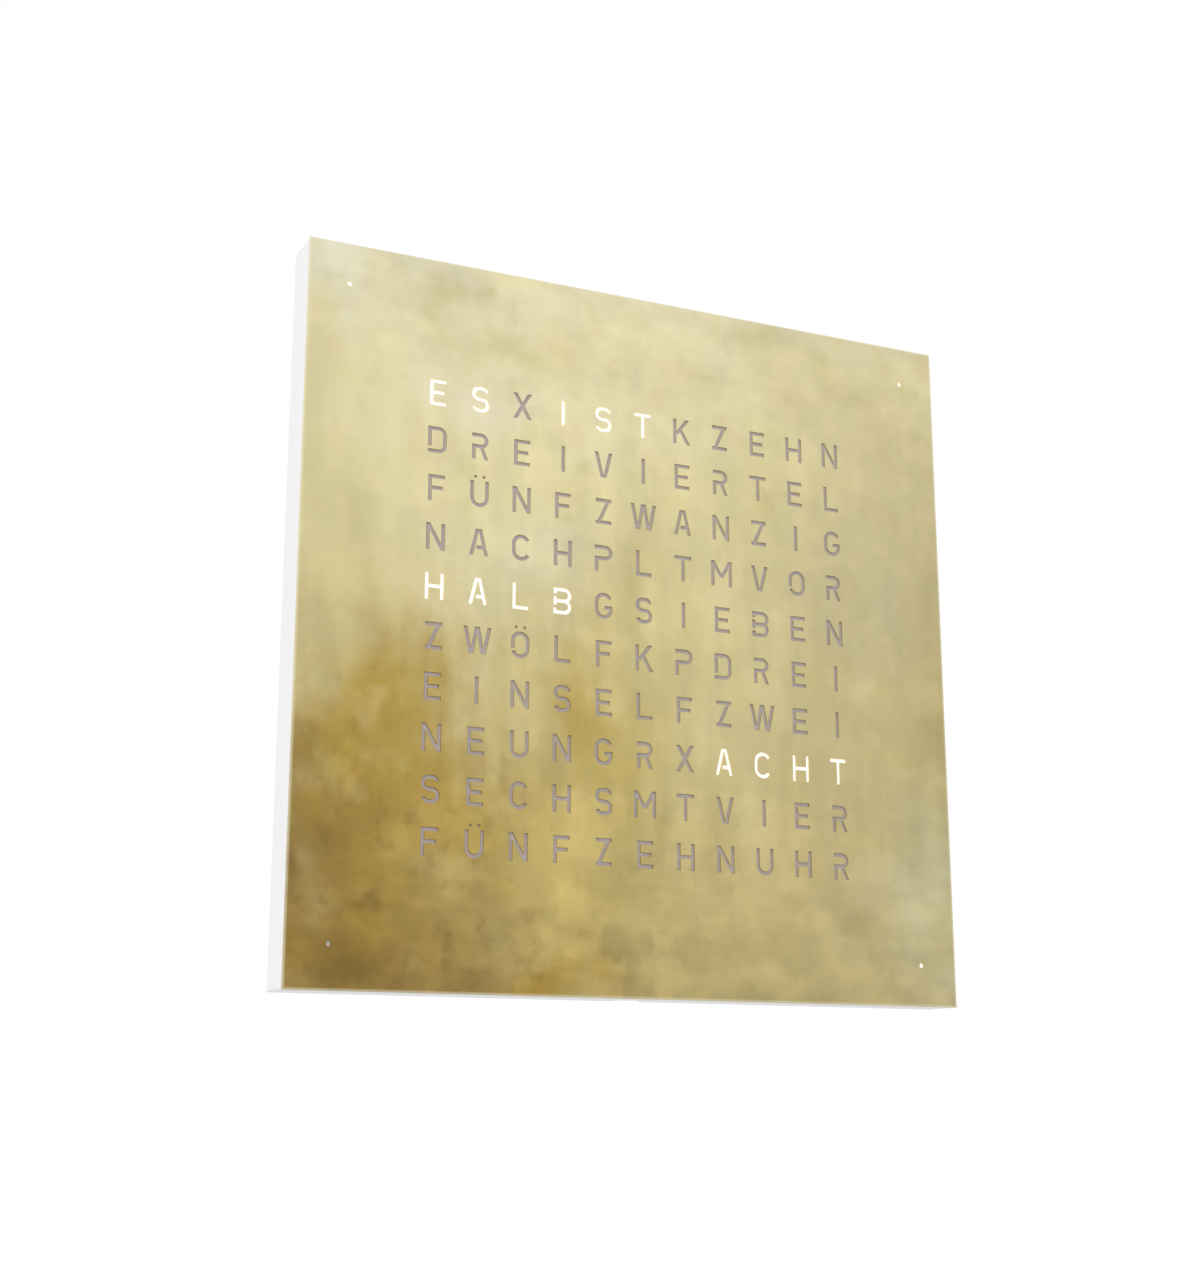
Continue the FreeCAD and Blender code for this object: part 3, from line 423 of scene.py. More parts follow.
def unrest(noise, wiped, z, calm, low):
    """How much lighter or darker the marks make each place."""
    ends = abs(z).ramp(0.60 * clock_half, 0.85 * clock_half)
    shown = (noise["clouds"] - 0.5) * (SHOWS["clouds"] + ends * SHOWS["clouds_at_ends"])
    shown = shown + (noise["mottle"] - 0.5) * SHOWS["mottle"]
    shown = (shown + wiped * SHOWS["wiped"]) * (calm + low * LOW_UNREST)
    islands = noise["islands"].ramp(0.47, 0.56) - 0.5
    shown = shown + islands * (calm * SHOWS["islands"] + low * SHOWS["islands_low"])
    return shown + (noise["grain"] - 0.5) * SHOWS["grain"]


print("all marks run level above", round(LEVEL_ABOVE * clock_half, 3))

# %% Tones first, then clouds, wiped marks, stains and a painted highlight along the edge
def make_patina_brass():
    brass = Finish("patina_brass", Specular_IOR_Level=0.4)
    point, x, y, z = brass.place()
    noise = {name: brass.noise(point, *settings) for name, settings in MARKS.items()}
    wiped = cloth_marks(noise, z)
    across = x + (noise["drift"] - 0.5) * WANDER + wiped * WIPED_WANDER
    up = z + (noise["swirl"] - 0.5) * WANDER + wiped * WIPED_WANDER
    colour = brass_tones(brass, across, up)

    low = low_part(x, z)
    calm = 1 - soft_spot(x, z, (-0.85, 0.40), (0.28, 0.36)) * 0.6
    blush = noise["blush"].ramp(0.50, 0.70) * SHOWS["blush"]
    olive = noise["olive"].ramp(0.54, 0.74) * SHOWS["olive"]
    colour = brass.mix(blush * (1 - low) * calm, colour, BISQUE)
    colour = brass.mix(olive * (1 - low * 0.6) * calm, colour, MOSS)
    colour = brass.shade(colour, 1 + unrest(noise, wiped, z, calm, low))

    low_left = soft_spot(x, z, (-0.9, -0.85), (0.75, 0.6))
    stains = noise["stains"].ramp(0.52, 0.72) * low_left
    colour = brass.mix(stains * SHOWS["stains"], colour, UMBER)
    # Painted highlight: a pale cream line along all four edges of the sheet, where light catches
    # them.
    rim = abs(x).either(abs(z)).ramp(clock_half - EDGE_HIGHLIGHT, clock_half - EDGE_HIGHLIGHT / 3)
    colour = brass.mix(rim * SHOWS["rim"], colour, CREAM)
    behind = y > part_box("front_plate")[1].y - HAIR
    colour = brass.mix(behind, colour, RAW_BRASS)

    clouds = noise["clouds"] - 0.5
    grain = noise["grain"] - 0.5
    roughness = 0.46 + clouds * 0.10 + stains * 0.20 + grain * 0.08
    brass.surface(Base_Color=colour, Roughness=roughness, Metallic=0.65 - stains * 0.25)
    brass.relief(grain + (noise["mottle"] - 0.5) * 0.5, strength=0.10, depth=0.0002)
    return brass.material


patina_brass = make_patina_brass()
print("nodes in the brass:", len(patina_brass.node_tree.nodes))

# %% [markdown]
# ## Light behind the letters
#
# An opal sheet lies behind the brass. Where a diode is on, its well of the black panel
# glows as one even cell; elsewhere the sheet is a dull grey lilac. Lamps behind thin
# plastic are slow to render and noisy, so the sheet gives off light itself, masked to the
# cells of the lit words and to three of the four minute dots.

# %% The time that is shown: row, first column and last column of each word
LIT_WORDS = ((1, 1, 2), (1, 4, 6), (5, 1, 4), (8, 8, 11))
CELL_WALL = 0.004
DOT_WELL = 0.0045
GLOW = 0.92
FALL = 900
STRAY = 0.15
WARM_WHITE = tint(255, 246, 233)
OPAL = tint(173, 163, 161)
OPAL_OVER_WELL = tint(195, 184, 182)


def lit_cells(x, z):
    """1 over the cells of the lit words."""
    lit = 0
    for row, first, last in LIT_WORDS:
        left = (first - 1) * column_pitch - grid_half.x
        right = last * column_pitch - grid_half.x
        top = grid_half.z - (row - 1) * row_pitch
        lit = x.between(left, right) * z.between(top - row_pitch, top) + lit
    return lit


def lit_dots(x, z):
    """1 over the three dots that are on. The fourth catches a little stray light."""
    across = abs(x) - dot_place
    up = abs(z) - dot_place
    unlit = (x < 0) * (z < 0)
    return ((across * across + up * up) < DOT_WELL ** 2) * (1 - unlit * (1 - STRAY))


print("lit letters:", sum(last - first + 1 for row, first, last in LIT_WORDS))

# %% The opal sheet
def make_opal_sheet():
    opal = Finish("opal_acrylic", Emission_Strength=GLOW, Coat_Weight=0.2)
    point, x, y, z = opal.place()
    from_column = abs((x + grid_half.x) % column_pitch - column_pitch / 2)
    from_row = abs((z + grid_half.z) % row_pitch - row_pitch / 2)
    in_grid = x.between(-grid_half.x, grid_half.x) * z.between(-grid_half.z, grid_half.z)
    in_column = from_column < (column_pitch - CELL_WALL) / 2
    in_row = from_row < (row_pitch - CELL_WALL) / 2
    well = in_grid * in_column * in_row
    fall = 1 - (from_column * from_column + from_row * from_row) * FALL
    glow = (lit_cells(x, z) * well * fall).either(lit_dots(x, z))
    haze = opal.noise(point, 40, 2) - 0.5
    base = opal.mix(well * 0.6, OPAL, OPAL_OVER_WELL)
    opal.surface(
        Base_Color=opal.shade(base, 1 + haze * 0.06),
        Emission_Color=opal.mix(glow, (0, 0, 0, 1), WARM_WHITE),
        Roughness=0.42 + haze * 0.1,
    )
    opal.relief(opal.noise(point, 2600, 1), strength=0.05, depth=0.0001)
    return opal.material


opal_acrylic = make_opal_sheet()
print("opal sheet glows at", GLOW)

# %% [markdown]
# ## White lacquer
#
# The casing's rails are fibreboard under sprayed white lacquer. Sprayed paint is never
# flat: it dries with a faint orange peel, and its sheen varies a little. Those two things
# are what makes it read as paint instead of paper.

# %% Sprayed white lacquer
LACQUER = tint(250, 249, 250)
DUST = tint(214, 212, 214)


def make_white_lacquer():
    lacquer = Finish("white_lacquer", Coat_Weight=0.25, Coat_Roughness=0.12)
    point, x, y, z = lacquer.place()
    cloud = lacquer.noise(point, 14, 3) - 0.5
    peel = lacquer.noise(point, 700, 2)
    dust = lacquer.noise(point, 260, 4).ramp(0.66, 0.8)
    colour = lacquer.shade(LACQUER, 1 + cloud * 0.03)
    lacquer.surface(
        Base_Color=lacquer.mix(dust * 0.06, colour, DUST),
        Roughness=0.34 + cloud * 0.10,
    )
    lacquer.relief(peel, strength=0.08, depth=0.0003)
    return lacquer.material


white_lacquer = make_white_lacquer()
print("lacquer nodes:", len(white_lacquer.node_tree.nodes))

# %% [markdown]
# ## Metals of the back
#
# The cover is brushed aluminium, the hanger and the bracket are zinc plated, the screws are
# plated and tumbled, and the magnets have bright nickel. One function can make them all:
# what differs is the colour, the direction of the brush lines, and how cloudy the plating
# is. Each metal keeps its own scale of marks, so that none looks like another.

# %% One recipe for plated and brushed metal
def make_metal(name, light, dark, roughness, brushed=(1, 1, 1), lines=900, clouds=30, cloudy=0.5):
    metal = Finish(name, Metallic=1.0)
    point, x, y, z = metal.place()
    cloud = metal.noise(point, clouds, 5)
    line = metal.noise(point, lines, 3, stretch=brushed) - 0.5
    crossways = (brushed[2], brushed[1], brushed[0])
    scratch = metal.noise(point, lines / 3, 4, stretch=crossways).ramp(0.64, 0.72)
    colour = metal.mix(cloud.ramp(0.3, 0.7) * cloudy, light, dark)
    metal.surface(
        Base_Color=metal.shade(colour, 1 + line * 0.12 - scratch * 0.06),
        Roughness=roughness + line * 0.14 + (cloud - 0.5) * 0.12 + scratch * 0.05,
    )
    metal.relief(line, strength=0.12, depth=0.0001)
    return metal.material


brushed_aluminium = make_metal(
    "cover_aluminium", tint(172, 174, 178), tint(164, 166, 171), 0.38,
    brushed=(0.015, 1, 1), lines=1500, clouds=12, cloudy=0.4,
)
nickel = make_metal(
    "nickel_magnet", tint(206, 201, 190), tint(186, 181, 169), 0.20, lines=2500, clouds=300,
)
bright_metal = make_metal(
    "bright_metal", tint(204, 204, 204), tint(180, 181, 183), 0.26, lines=3000, clouds=400,
)
screw_steel = make_metal(
    "screw_steel", tint(176, 176, 174), tint(138, 139, 141), 0.32, lines=3500, clouds=900,
)
print("metals made:", [m.name for m in (brushed_aluminium, nickel, bright_metal, screw_steel)])

# %% Zinc plating has a crystal pattern and a faint blue and straw tinge
FRAY = 0.004
CRYSTALS = 210


def make_zinc_steel():
    zinc = Finish("zinc_steel", Metallic=1.0)
    point, x, y, z = zinc.place()
    bloom = zinc.noise(point, 22, 4)
    fray = {0: zinc.noise(point, 240, 3), 1: (FRAY, FRAY, FRAY), 2: point}
    frayed_point = zinc.node("VectorMath", {"operation": "MULTIPLY_ADD"}, fray)
    cells = {"Vector": frayed_point, "Scale": CRYSTALS}
    crystal = zinc.node("TexVoronoi", {"feature": "F1"}, cells, output="Color")
    facet = zinc.node("SeparateColor", values={0: crystal}, output=0) - 0.5
    rolled = zinc.noise(point, 1100, 3, stretch=(0.02, 1, 1)) - 0.5
    colour = zinc.mix(bloom.ramp(0.35, 0.65), tint(158, 164, 172), tint(170, 169, 162))
    zinc.surface(
        Base_Color=zinc.shade(colour, 1 + facet * 0.14 + rolled * 0.08),
        Roughness=0.34 + facet * 0.12 + bloom * 0.10,
    )
    zinc.relief(rolled + facet * 0.3, strength=0.08, depth=0.0001)
    return zinc.material


zinc_steel = make_zinc_steel()
print("zinc nodes:", len(zinc_steel.node_tree.nodes))

# %% [markdown]
# ## Plastics, rubber and wood
#
# Moulded plastic takes its look from the mould: a spark-eroded texture for the tray and
# the holders, finer for the buttons. The light panel is black dyed fibreboard, whose cut
# faces show short fibres, and the dowels are beech with its small flecks.

# %% Moulded plastic and rubber
def make_moulded(name, colour, worn, roughness, texture=1800, relief=0.25):
    plastic = Finish(name)
    point, x, y, z = plastic.place()
    pits = plastic.noise(point, texture, 2)
    rubbed = plastic.noise(point, 90, 4).ramp(0.45, 0.75)
    plastic.surface(
        Base_Color=plastic.mix(rubbed * 0.5, colour, worn),
        Roughness=roughness + (pits - 0.5) * 0.2 - rubbed * 0.06,
    )
    plastic.relief(pits, strength=relief, depth=0.0002)
    return plastic.material


black_plastic = make_moulded("black_plastic", tint(38, 38, 41), tint(52, 52, 55), 0.52)
button_grey = make_moulded("button_grey", tint(92, 95, 101), tint(112, 114, 119), 0.45, 3000)
rubber_pad = make_moulded("rubber_pad", tint(48, 48, 49), tint(66, 65, 64), 0.78, 900, 0.4)
lead_black = make_moulded("lead_black", tint(40, 40, 42), tint(58, 58, 60), 0.48, 1200, 0.1)
ferrite = make_moulded("ferrite", tint(60, 59, 60), tint(84, 81, 79), 0.40, 1000, 0.15)
moulded = (black_plastic, button_grey, rubber_pad, lead_black, ferrite)
print("moulded finishes made:", [material.name for material in moulded])

# %% Black fibreboard and beech
def make_wood(name, colour, fibre, along, scale, roughness):
    wood = Finish(name)
    point, x, y, z = wood.place()
    figure = wood.noise(point, scale, 4, stretch=along)
    fleck = wood.noise(point, scale * 4, 3, stretch=along).ramp(0.55, 0.72)
    shown = (figure.ramp(0.35, 0.7) + fleck * 0.5) * 0.7
    wood.surface(
        Base_Color=wood.mix(shown, colour, fibre),
        Roughness=roughness + (figure - 0.5) * 0.15,
    )
    wood.relief(figure + fleck, strength=0.3, depth=0.0002)
    return wood.material


black_panel = make_wood("black_panel", tint(36, 35, 36), tint(66, 63, 61), EVEN, 700, 0.75)
beech = make_wood("beech", tint(216, 184, 143), tint(178, 138, 98), (0.15, 1, 0.15), 500, 0.6)
print("woods made:", black_panel.name, beech.name)

# %% [markdown]
# ## Circuit boards
#
# A board is glass fibre under a coloured mask. Copper tracks lie under the mask and lift it
# a little, and bare pads and vias shine through. Tracks run straight and turn at right
# angles, so the mortar lines of a brick texture draw them well, and the middles of Voronoi
# cells make the vias.

# %% A masked board with tracks and vias
TIN = tint(205, 203, 196)
TRACK_WIDTH = 0.00018
VIA_SCALE = 130
VIA_SHARE = 0.055


def make_board(name, mask, over_copper, track_length, track_gap):
    board = Finish(name, Coat_Weight=0.3, Coat_Roughness=0.2)
    point, x, y, z = board.place()
    flat = board.node("CombineXYZ", values={0: x, 1: z})
    tracks = board.node(
        "TexBrick", {"offset": 0.37, "squash": 0.6, "squash_frequency": 3},
        {"Vector": flat, "Scale": 1.0, "Mortar Size": TRACK_WIDTH, "Mortar Smooth": 0.1,
         "Brick Width": track_length, "Row Height": track_gap}, output="Fac",
    )
    cells = {"Vector": point, "Scale": VIA_SCALE}
    via = board.node("TexVoronoi", {"feature": "F1"}, cells, output="Distance") < VIA_SHARE
    weave = board.noise(point, 1500, 2, stretch=(1, 1, 0.2)) - 0.5
    colour = board.mix(tracks, mask, over_copper)
    colour = board.mix(via, board.shade(colour, 1 + weave * 0.06), TIN)
    board.surface(Base_Color=colour, Roughness=0.38 - via * 0.1 + weave * 0.1, Metallic=via * 0.9)
    board.relief(tracks + via, strength=0.5, depth=0.00004)
    return board.material


white_board = make_board("white_board", tint(236, 236, 232), tint(222, 219, 208), 0.021, 0.0034)
green_board = make_board("green_board", tint(24, 92, 54), tint(44, 122, 74), 0.011, 0.0019)
print("boards made:", white_board.name, green_board.name)

# %% [markdown]
# ## Small components
#
# The diodes, capacitors and chips repeat over the boards. A pattern that repeats needs only
# one cell: the remainder of a division folds all 110 diodes on to a single one, and a small
# mask drawn there shows on each of them.

# %% Light-emitting diodes: a white package round a yellow phosphor
PHOSPHOR_RADIUS = 0.0019
PACKAGE_WHITE = tint(238, 236, 228)
PHOSPHOR = tint(233, 205, 96)


def make_diode(name, fold):
    diode = Finish(name, Coat_Weight=0.3)
    point, x, y, z = diode.place()
    across, up = fold(x, z)
    inside = (across * across + up * up) < PHOSPHOR_RADIUS ** 2
    cloud = diode.noise(point, 900, 3) - 0.5
    colour = diode.mix(inside, PACKAGE_WHITE, PHOSPHOR)
    diode.surface(
        Base_Color=diode.shade(colour, 1 + cloud * 0.12),
        Roughness=0.45 - inside * 0.2 + cloud * 0.1,
    )
    diode.relief(diode.noise(point, 2500, 2), strength=0.15, depth=0.0001)
    return diode.material


def fold_letters(x, z):
    across = (x + grid_half.x) % column_pitch - column_pitch / 2
    return across, (z + grid_half.z) % row_pitch - row_pitch / 2


def fold_corners(x, z):
    return abs(x) - dot_place, abs(z) - dot_place


letter_diode = make_diode("letter_diode", fold_letters)
minute_diode = make_diode("minute_diode", fold_corners)
print("diodes:", COLUMNS * ROWS, "behind letters and 4 behind dots")

# %% Ceramic capacitors with tinned ends
capacitor_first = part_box("led_capacitors")[0]
CAPACITOR_LENGTH = 0.002
CAPACITOR_END = 0.0004


def make_ceramic():
    ceramic = Finish("ceramic_chip")
    point, x, y, z = ceramic.place()
    along = (x - capacitor_first.x + CAPACITOR_END) % column_pitch - CAPACITOR_END
    body = along.between(CAPACITOR_END, CAPACITOR_LENGTH - CAPACITOR_END)
    speckle = ceramic.noise(point, 5000, 2) - 0.5
    colour = ceramic.mix(body, TIN, tint(168, 132, 92))
    ceramic.surface(
        Base_Color=ceramic.shade(colour, 1 + speckle * 0.2),
        Roughness=0.4 + body * 0.15, Metallic=1 - body,
    )
    ceramic.relief(speckle, strength=0.2, depth=0.00005)
    return ceramic.material


ceramic_chip = make_ceramic()
print("capacitors start at x =", round(capacitor_first.x, 4))

# %% Moulded chips: epoxy bodies with tinned leads and a dimple at the first lead
LEAD_REACH = 0.0015
DRIVER_HALF_LENGTH = 0.0055
DIMPLE_RADIUS = 0.0006
DIMPLE_PLACE = 0.7
EPOXY = tint(44, 44, 47)
EPOXY_WORN = tint(64, 64, 67)


def make_chip(name, node, spread=0.0, leads_all_round=False):
    """Spread is the distance from the part's middle to each chip, where it holds two."""
    chip = Finish(name)
    point, x, y, z = chip.place()
    centre = middle(node)
    half_body = size(node).x / 2 - spread - LEAD_REACH
    across = abs(x - centre.x) - spread if spread else x - centre.x
    up = z - centre.z
    body = abs(across) < half_body
    if leads_all_round:
        body = body * (abs(up) < half_body)
    dimple_x = across + half_body * DIMPLE_PLACE
    dimple_z = up - half_body * DIMPLE_PLACE
    dimple = (dimple_x * dimple_x + dimple_z * dimple_z) < DIMPLE_RADIUS ** 2
    grain = chip.noise(point, 6000, 2) - 0.5
    colour = chip.mix(body, TIN, chip.mix(dimple, EPOXY, EPOXY_WORN))
    chip.surface(
        Base_Color=chip.shade(colour, 1 + grain * 0.2),
        Roughness=0.35 + body * 0.25 + grain * 0.2, Metallic=1 - body,
    )
    chip.relief(grain - dimple, strength=0.3, depth=0.0001)
    return chip.material


driver_spread = size("led_drivers").x / 2 - DRIVER_HALF_LENGTH
processor_chip = make_chip("processor_chip", "microcontroller", leads_all_round=True)
driver_chip = make_chip("driver_chip", "led_drivers", driver_spread)
print("driver chips stand", round(driver_spread, 4), "either side of their middle")

# %% Power package, inductor and light sensor
chip_black = make_moulded("chip_black", EPOXY, tint(58, 58, 61), 0.55, 6000)
inductor_grey = make_moulded("inductor_grey", tint(70, 70, 73), tint(96, 95, 93), 0.5, 2500, 0.4)
sensor_clear = make_moulded(
    "sensor_clear", tint(120, 108, 88), tint(146, 134, 112), 0.2, 4000, 0.05,
)
print("small packages made:", chip_black.name, inductor_grey.name, sensor_clear.name)

# %% Flat cable: grey cores with the first one red
CORE_PITCH = 0.000736
CABLE_GREY = tint(176, 176, 178)
CABLE_RED = tint(176, 44, 38)

cable_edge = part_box("row_links")[0].x


def make_ribbon():
    ribbon = Finish("ribbon_grey")
    point, x, y, z = ribbon.place()
    edge_core = x.between(cable_edge - CORE_PITCH, cable_edge + CORE_PITCH)
    dull = ribbon.noise(point, 400, 3) - 0.5
    colour = ribbon.mix(edge_core, CABLE_GREY, CABLE_RED)
    ribbon.surface(Base_Color=ribbon.shade(colour, 1 + dull * 0.12), Roughness=0.46 + dull * 0.12)
    ribbon.relief(dull, strength=0.1, depth=0.0001)
    return ribbon.material


ribbon_grey = make_ribbon()
print("red core lies at x =", round(cable_edge, 4))

# %% [markdown]
# ## Putting the finishes on
#
# Most of the solid parts keep their shapes, and each only gets a material in its slot. A
# table of parts and finishes does that in one loop, where a line for each part would repeat
# the same two calls. A part that it forgets is printed as still plain.

# %% Which part wears which finish
WEARS = {
    "front_plate": patina_brass,
    "diffuser_sheet": opal_acrylic,
    "light_grid": black_panel,
    "mitre_dowels": beech,
    "rear_cover": brushed_aluminium,
    "hanger_rail": zinc_steel,
    "wall_bracket": zinc_steel,
    "casing_magnets": nickel,
    "cover_discs": nickel,
    "wall_pads": rubber_pad,
    "letter_leds": letter_diode,
    "minute_leds": minute_diode,
    "led_capacitors": ceramic_chip,
    "minute_boards": white_board,
    "controller_board": green_board,
    "radio_board": green_board,
    "microcontroller": processor_chip,
    "led_drivers": driver_chip,
    "regulator": chip_black,
    "inductor": inductor_grey,
    "light_sensor": sensor_clear,
    "crystal": bright_metal,
    "coin_cell": nickel,
    "coin_cell_holder": black_plastic,
    "power_capacitors": bright_metal,
    "dc_socket": black_plastic,
    "dc_socket_pin": bright_metal,
    "plug_well": black_plastic,
    "tact_switches": black_plastic,
    "antenna_holders": black_plastic,
    "antenna_lead": lead_black,
    "ferrite_rod": ferrite,
    "row_links": ribbon_grey,
    "main_ribbon": ribbon_grey,
    "minute_leads": ribbon_grey,
}
for side in ("top", "bottom", "left", "right"):
    WEARS[side + "_rail"] = white_lacquer
for row in range(1, ROWS + 1):
    WEARS["row_board_%02d" % row] = white_board
for kind in ("board", "rear_cover", "hanger"):
    WEARS[kind + "_screws"] = screw_steel
for kind in ("hour", "minute", "light"):
    WEARS[kind + "_button"] = button_grey


def dress(piece, material):
    """Gives a piece one material all over."""
    piece.data.materials.clear()
    piece.data.materials.append(material)


for name, material in WEARS.items():
    dress(nodes[name], material)
print("parts dressed:", len(WEARS), "still plain:", sorted(set(nodes) - set(WEARS)))

# %% [markdown]
# ## Making pieces with bmesh
#
# A few parts deserve more shape than their solids have. Round ones are made the way a turner
# works: draw a small profile and spin it round an axis. `settle` turns a finished bmesh into
# an object that rides on a body of the clock and takes the place of its solid part.

# %% From a bmesh to a piece that rides on a body
SAME_POINT = 0.000005


def settle(name, mesh, material, replaces=None, smooth=True, body="casing"):
    bmesh.ops.recalc_face_normals(mesh, faces=mesh.faces)
    data = bpy.data.meshes.new(name)
    mesh.to_mesh(data)
    mesh.free()
    if smooth:
        data.shade_smooth()
    piece = bpy.data.objects.new(name, data)
    bpy.context.scene.collection.objects.link(piece)
    dress(piece, material)
    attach(piece, body)
    if replaces:
        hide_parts(replaces)
    print(name, "faces:", len(data.polygons))
    return piece


def turned(mesh, profile, centre, axis, steps=32):
    """Spins a profile once round an axis. The profile is a list of points in space."""
    corners = [mesh.verts.new(point) for point in profile]
    edges = [mesh.edges.new(pair) for pair in zip(corners, corners[1:])]
    bmesh.ops.spin(
        mesh, geom=corners + edges, cent=centre, axis=axis, angle=2 * math.pi, steps=steps,
        use_merge=True,
    )


def row_of_copies(mesh, step, count):
    """Sets out copies of everything in a mesh, each one step further on."""
    bmesh.ops.spin(
        mesh, geom=mesh.verts[:] + mesh.edges[:] + mesh.faces[:], cent=(0, 0, 0), axis=(0, 0, 1),
        dvec=step, steps=count, use_duplicate=True,
    )


print("points closer than", SAME_POINT, "m count as one")

# %% [markdown]
# ## Softened edges
#
# No moulded or folded part has a knife edge. Moulds leave a small radius, and sheet steel
# bends round one. The solids keep their edges sharp, so the parts that show at the back are
# copied, their triangles are joined into whole faces, and a Bevel modifier rounds what is
# left of the edges. Flat shading keeps the broad faces flat in the light, and the steps of
# the rounding are too small to see.

# %% Rounded copies of parts
SOFTENED = {
    "wall_bracket": ("wall_bracket", "zinc_steel", 0.0004),
    "hanger_rail": ("casing", "zinc_steel", 0.0003),
    "plug_well": ("casing", "black_plastic", 0.0003),
    "dc_socket": ("casing", "black_plastic", 0.0004),
    "hour_button": ("hour_button", "button_grey", 0.0003),
    "minute_button": ("minute_button", "button_grey", 0.0003),
    "light_button": ("light_button", "button_grey", 0.0003),
}
SAME_PLANE = math.radians(0.5)
REAL_EDGE = math.radians(35)


def softened(node, body, radius):
    mesh = bmesh.new()
    mesh.from_mesh(nodes[node].data)
    bmesh.ops.remove_doubles(mesh, verts=mesh.verts, dist=SAME_POINT)
    bmesh.ops.dissolve_limit(mesh, angle_limit=SAME_PLANE, verts=mesh.verts, edges=mesh.edges)
    piece = settle(
        node + "_rounded", mesh, WEARS[node], replaces=node, smooth=False, body=body,
    )
    rounding = piece.modifiers.new("rounding", "BEVEL")
    rounding.width = radius
    rounding.segments = 3
    rounding.limit_method = "ANGLE"
    rounding.angle_limit = REAL_EDGE


for node, (body, slot, radius) in SOFTENED.items():
    softened(node, body, radius)
print("parts with rounded edges:", len(SOFTENED))

# %% [markdown]
# ## The antenna's winding
#
# The time signal is picked up by a ferrite rod with fine enamelled wire wound round it in
# close turns, over a thin paper sleeve. A spin that also moves a little along its axis at
# each step draws a helix, so a small circle spun once is one turn. A spin by no angle at all
# only moves, and with use_duplicate it sets out copies in a row: that makes the other turns
# at one go, and merging the points where they meet makes one long wire.

# %% Enamelled copper
ENAMEL = tint(190, 104, 58)
ENAMEL_DARK = tint(150, 74, 38)


def make_enamelled_copper():
    copper = Finish("copper_wire", Coat_Weight=0.6, Coat_Roughness=0.1)
    point, x, y, z = copper.place()
    tone = copper.noise(point, 350, 3, stretch=(3, 1, 1))
    colour = copper.mix(tone.ramp(0.3, 0.7), ENAMEL, ENAMEL_DARK)
    copper.surface(
        Base_Color=colour, Roughness=0.3 + (tone - 0.5) * 0.2, Metallic=0.7 + tone * 0.2,
    )
    copper.relief(tone, strength=0.1, depth=0.00005)
    return copper.material


copper_wire = make_enamelled_copper()
print("nodes in the copper:", len(copper_wire.node_tree.nodes))

# %% The winding
WIRE = 0.00046
TURN_PITCH = 0.0005
STEPS_A_TURN = 28
BARE_END = 0.001

coil_low, coil_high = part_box("antenna_coil")
coil_centre = middle("antenna_coil")
winding_radius = size("antenna_coil").z / 2 - WIRE / 2
turns = int((coil_high.x - coil_low.x - 2 * BARE_END) / TURN_PITCH)
winding = bmesh.new()
start = coil_centre + Vector((-turns * TURN_PITCH / 2, 0, winding_radius))
upright = Matrix.Translation(start) @ Matrix.Rotation(math.pi / 2, 4, "X")
bmesh.ops.create_circle(winding, segments=8, radius=WIRE / 2, matrix=upright)
bmesh.ops.spin(
    winding, geom=winding.edges[:] + winding.verts[:], cent=coil_centre, axis=(1, 0, 0),
    dvec=(TURN_PITCH / STEPS_A_TURN, 0, 0), angle=2 * math.pi, steps=STEPS_A_TURN,
)
row_of_copies(winding, Vector((TURN_PITCH, 0, 0)), turns - 1)
bmesh.ops.remove_doubles(winding, verts=winding.verts, dist=4 * SAME_POINT)
open_ends = [edge for edge in winding.edges if edge.is_boundary]
bmesh.ops.holes_fill(winding, edges=open_ends, sides=8)
print("turns of wire:", turns)
settle("antenna_winding", winding, copper_wire, replaces="antenna_coil")

# %% The paper sleeve under the wire
SLEEVE_WALL = 0.0004
ROD_PLAY = 0.00005
PAPER = tint(214, 196, 158)
PAPER_FIBRE = tint(188, 166, 124)


def make_paper():
    paper = Finish("sleeve_paper")
    point, x, y, z = paper.place()
    fibre = paper.noise(point, 1800, 4, stretch=(0.4, 1, 1))
    paper.surface(Base_Color=paper.mix(fibre, PAPER, PAPER_FIBRE), Roughness=0.7 + fibre * 0.2)
    paper.relief(fibre, strength=0.3, depth=0.0001)
    return paper.material


sleeve = bmesh.new()
inner = size("ferrite_rod").z / 2 + ROD_PLAY
outer = inner + SLEEVE_WALL
left, right = coil_low.x, coil_high.x
wall = ((left, inner), (left, outer), (right, outer), (right, inner), (left, inner))
ring = [Vector((x, coil_centre.y, coil_centre.z + radius)) for x, radius in wall]
turned(sleeve, ring, coil_centre, (1, 0, 0))
bmesh.ops.remove_doubles(sleeve, verts=sleeve.verts, dist=2 * SAME_POINT)
settle("antenna_sleeve", sleeve, make_paper(), smooth=False)

# %% [markdown]
# ## Power capacitors
#
# An electrolytic capacitor is a drawn aluminium can, rolled in near its foot and sloped at
# its rim, on a black base. The can could be a stack of cylinders, but a spun profile is one
# closed skin: a handful of points, spun once. The base is a flat cube. A bevel rounds its
# upright edges more evenly than typed points would.

# %% Cans and bases
CAN_BASE = 0.0010
CAN_NECK = 0.0018
CAN_ROLL = 0.00035
CAN_RIM = 0.0004
CAN_SHOULDER = 0.0005
BASE_CORNER = 0.0012

can_low, can_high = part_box("power_capacitors")
can_radius = size("power_capacitors").z / 2
can_places = (can_low.x + can_radius, can_high.x - can_radius)


def can_profile(x, z):
    """From the middle of the top to the foot. The can's top faces the front."""
    top = can_low.y
    foot = can_high.y - CAN_BASE
    shape = (
        (0, top), (can_radius - CAN_RIM, top), (can_radius, top + CAN_SHOULDER),
        (can_radius, foot - CAN_NECK), (can_radius - CAN_ROLL, foot - CAN_NECK / 2),
        (can_radius, foot), (0, foot),
    )
    return [Vector((x + radius, y, z)) for radius, y in shape]


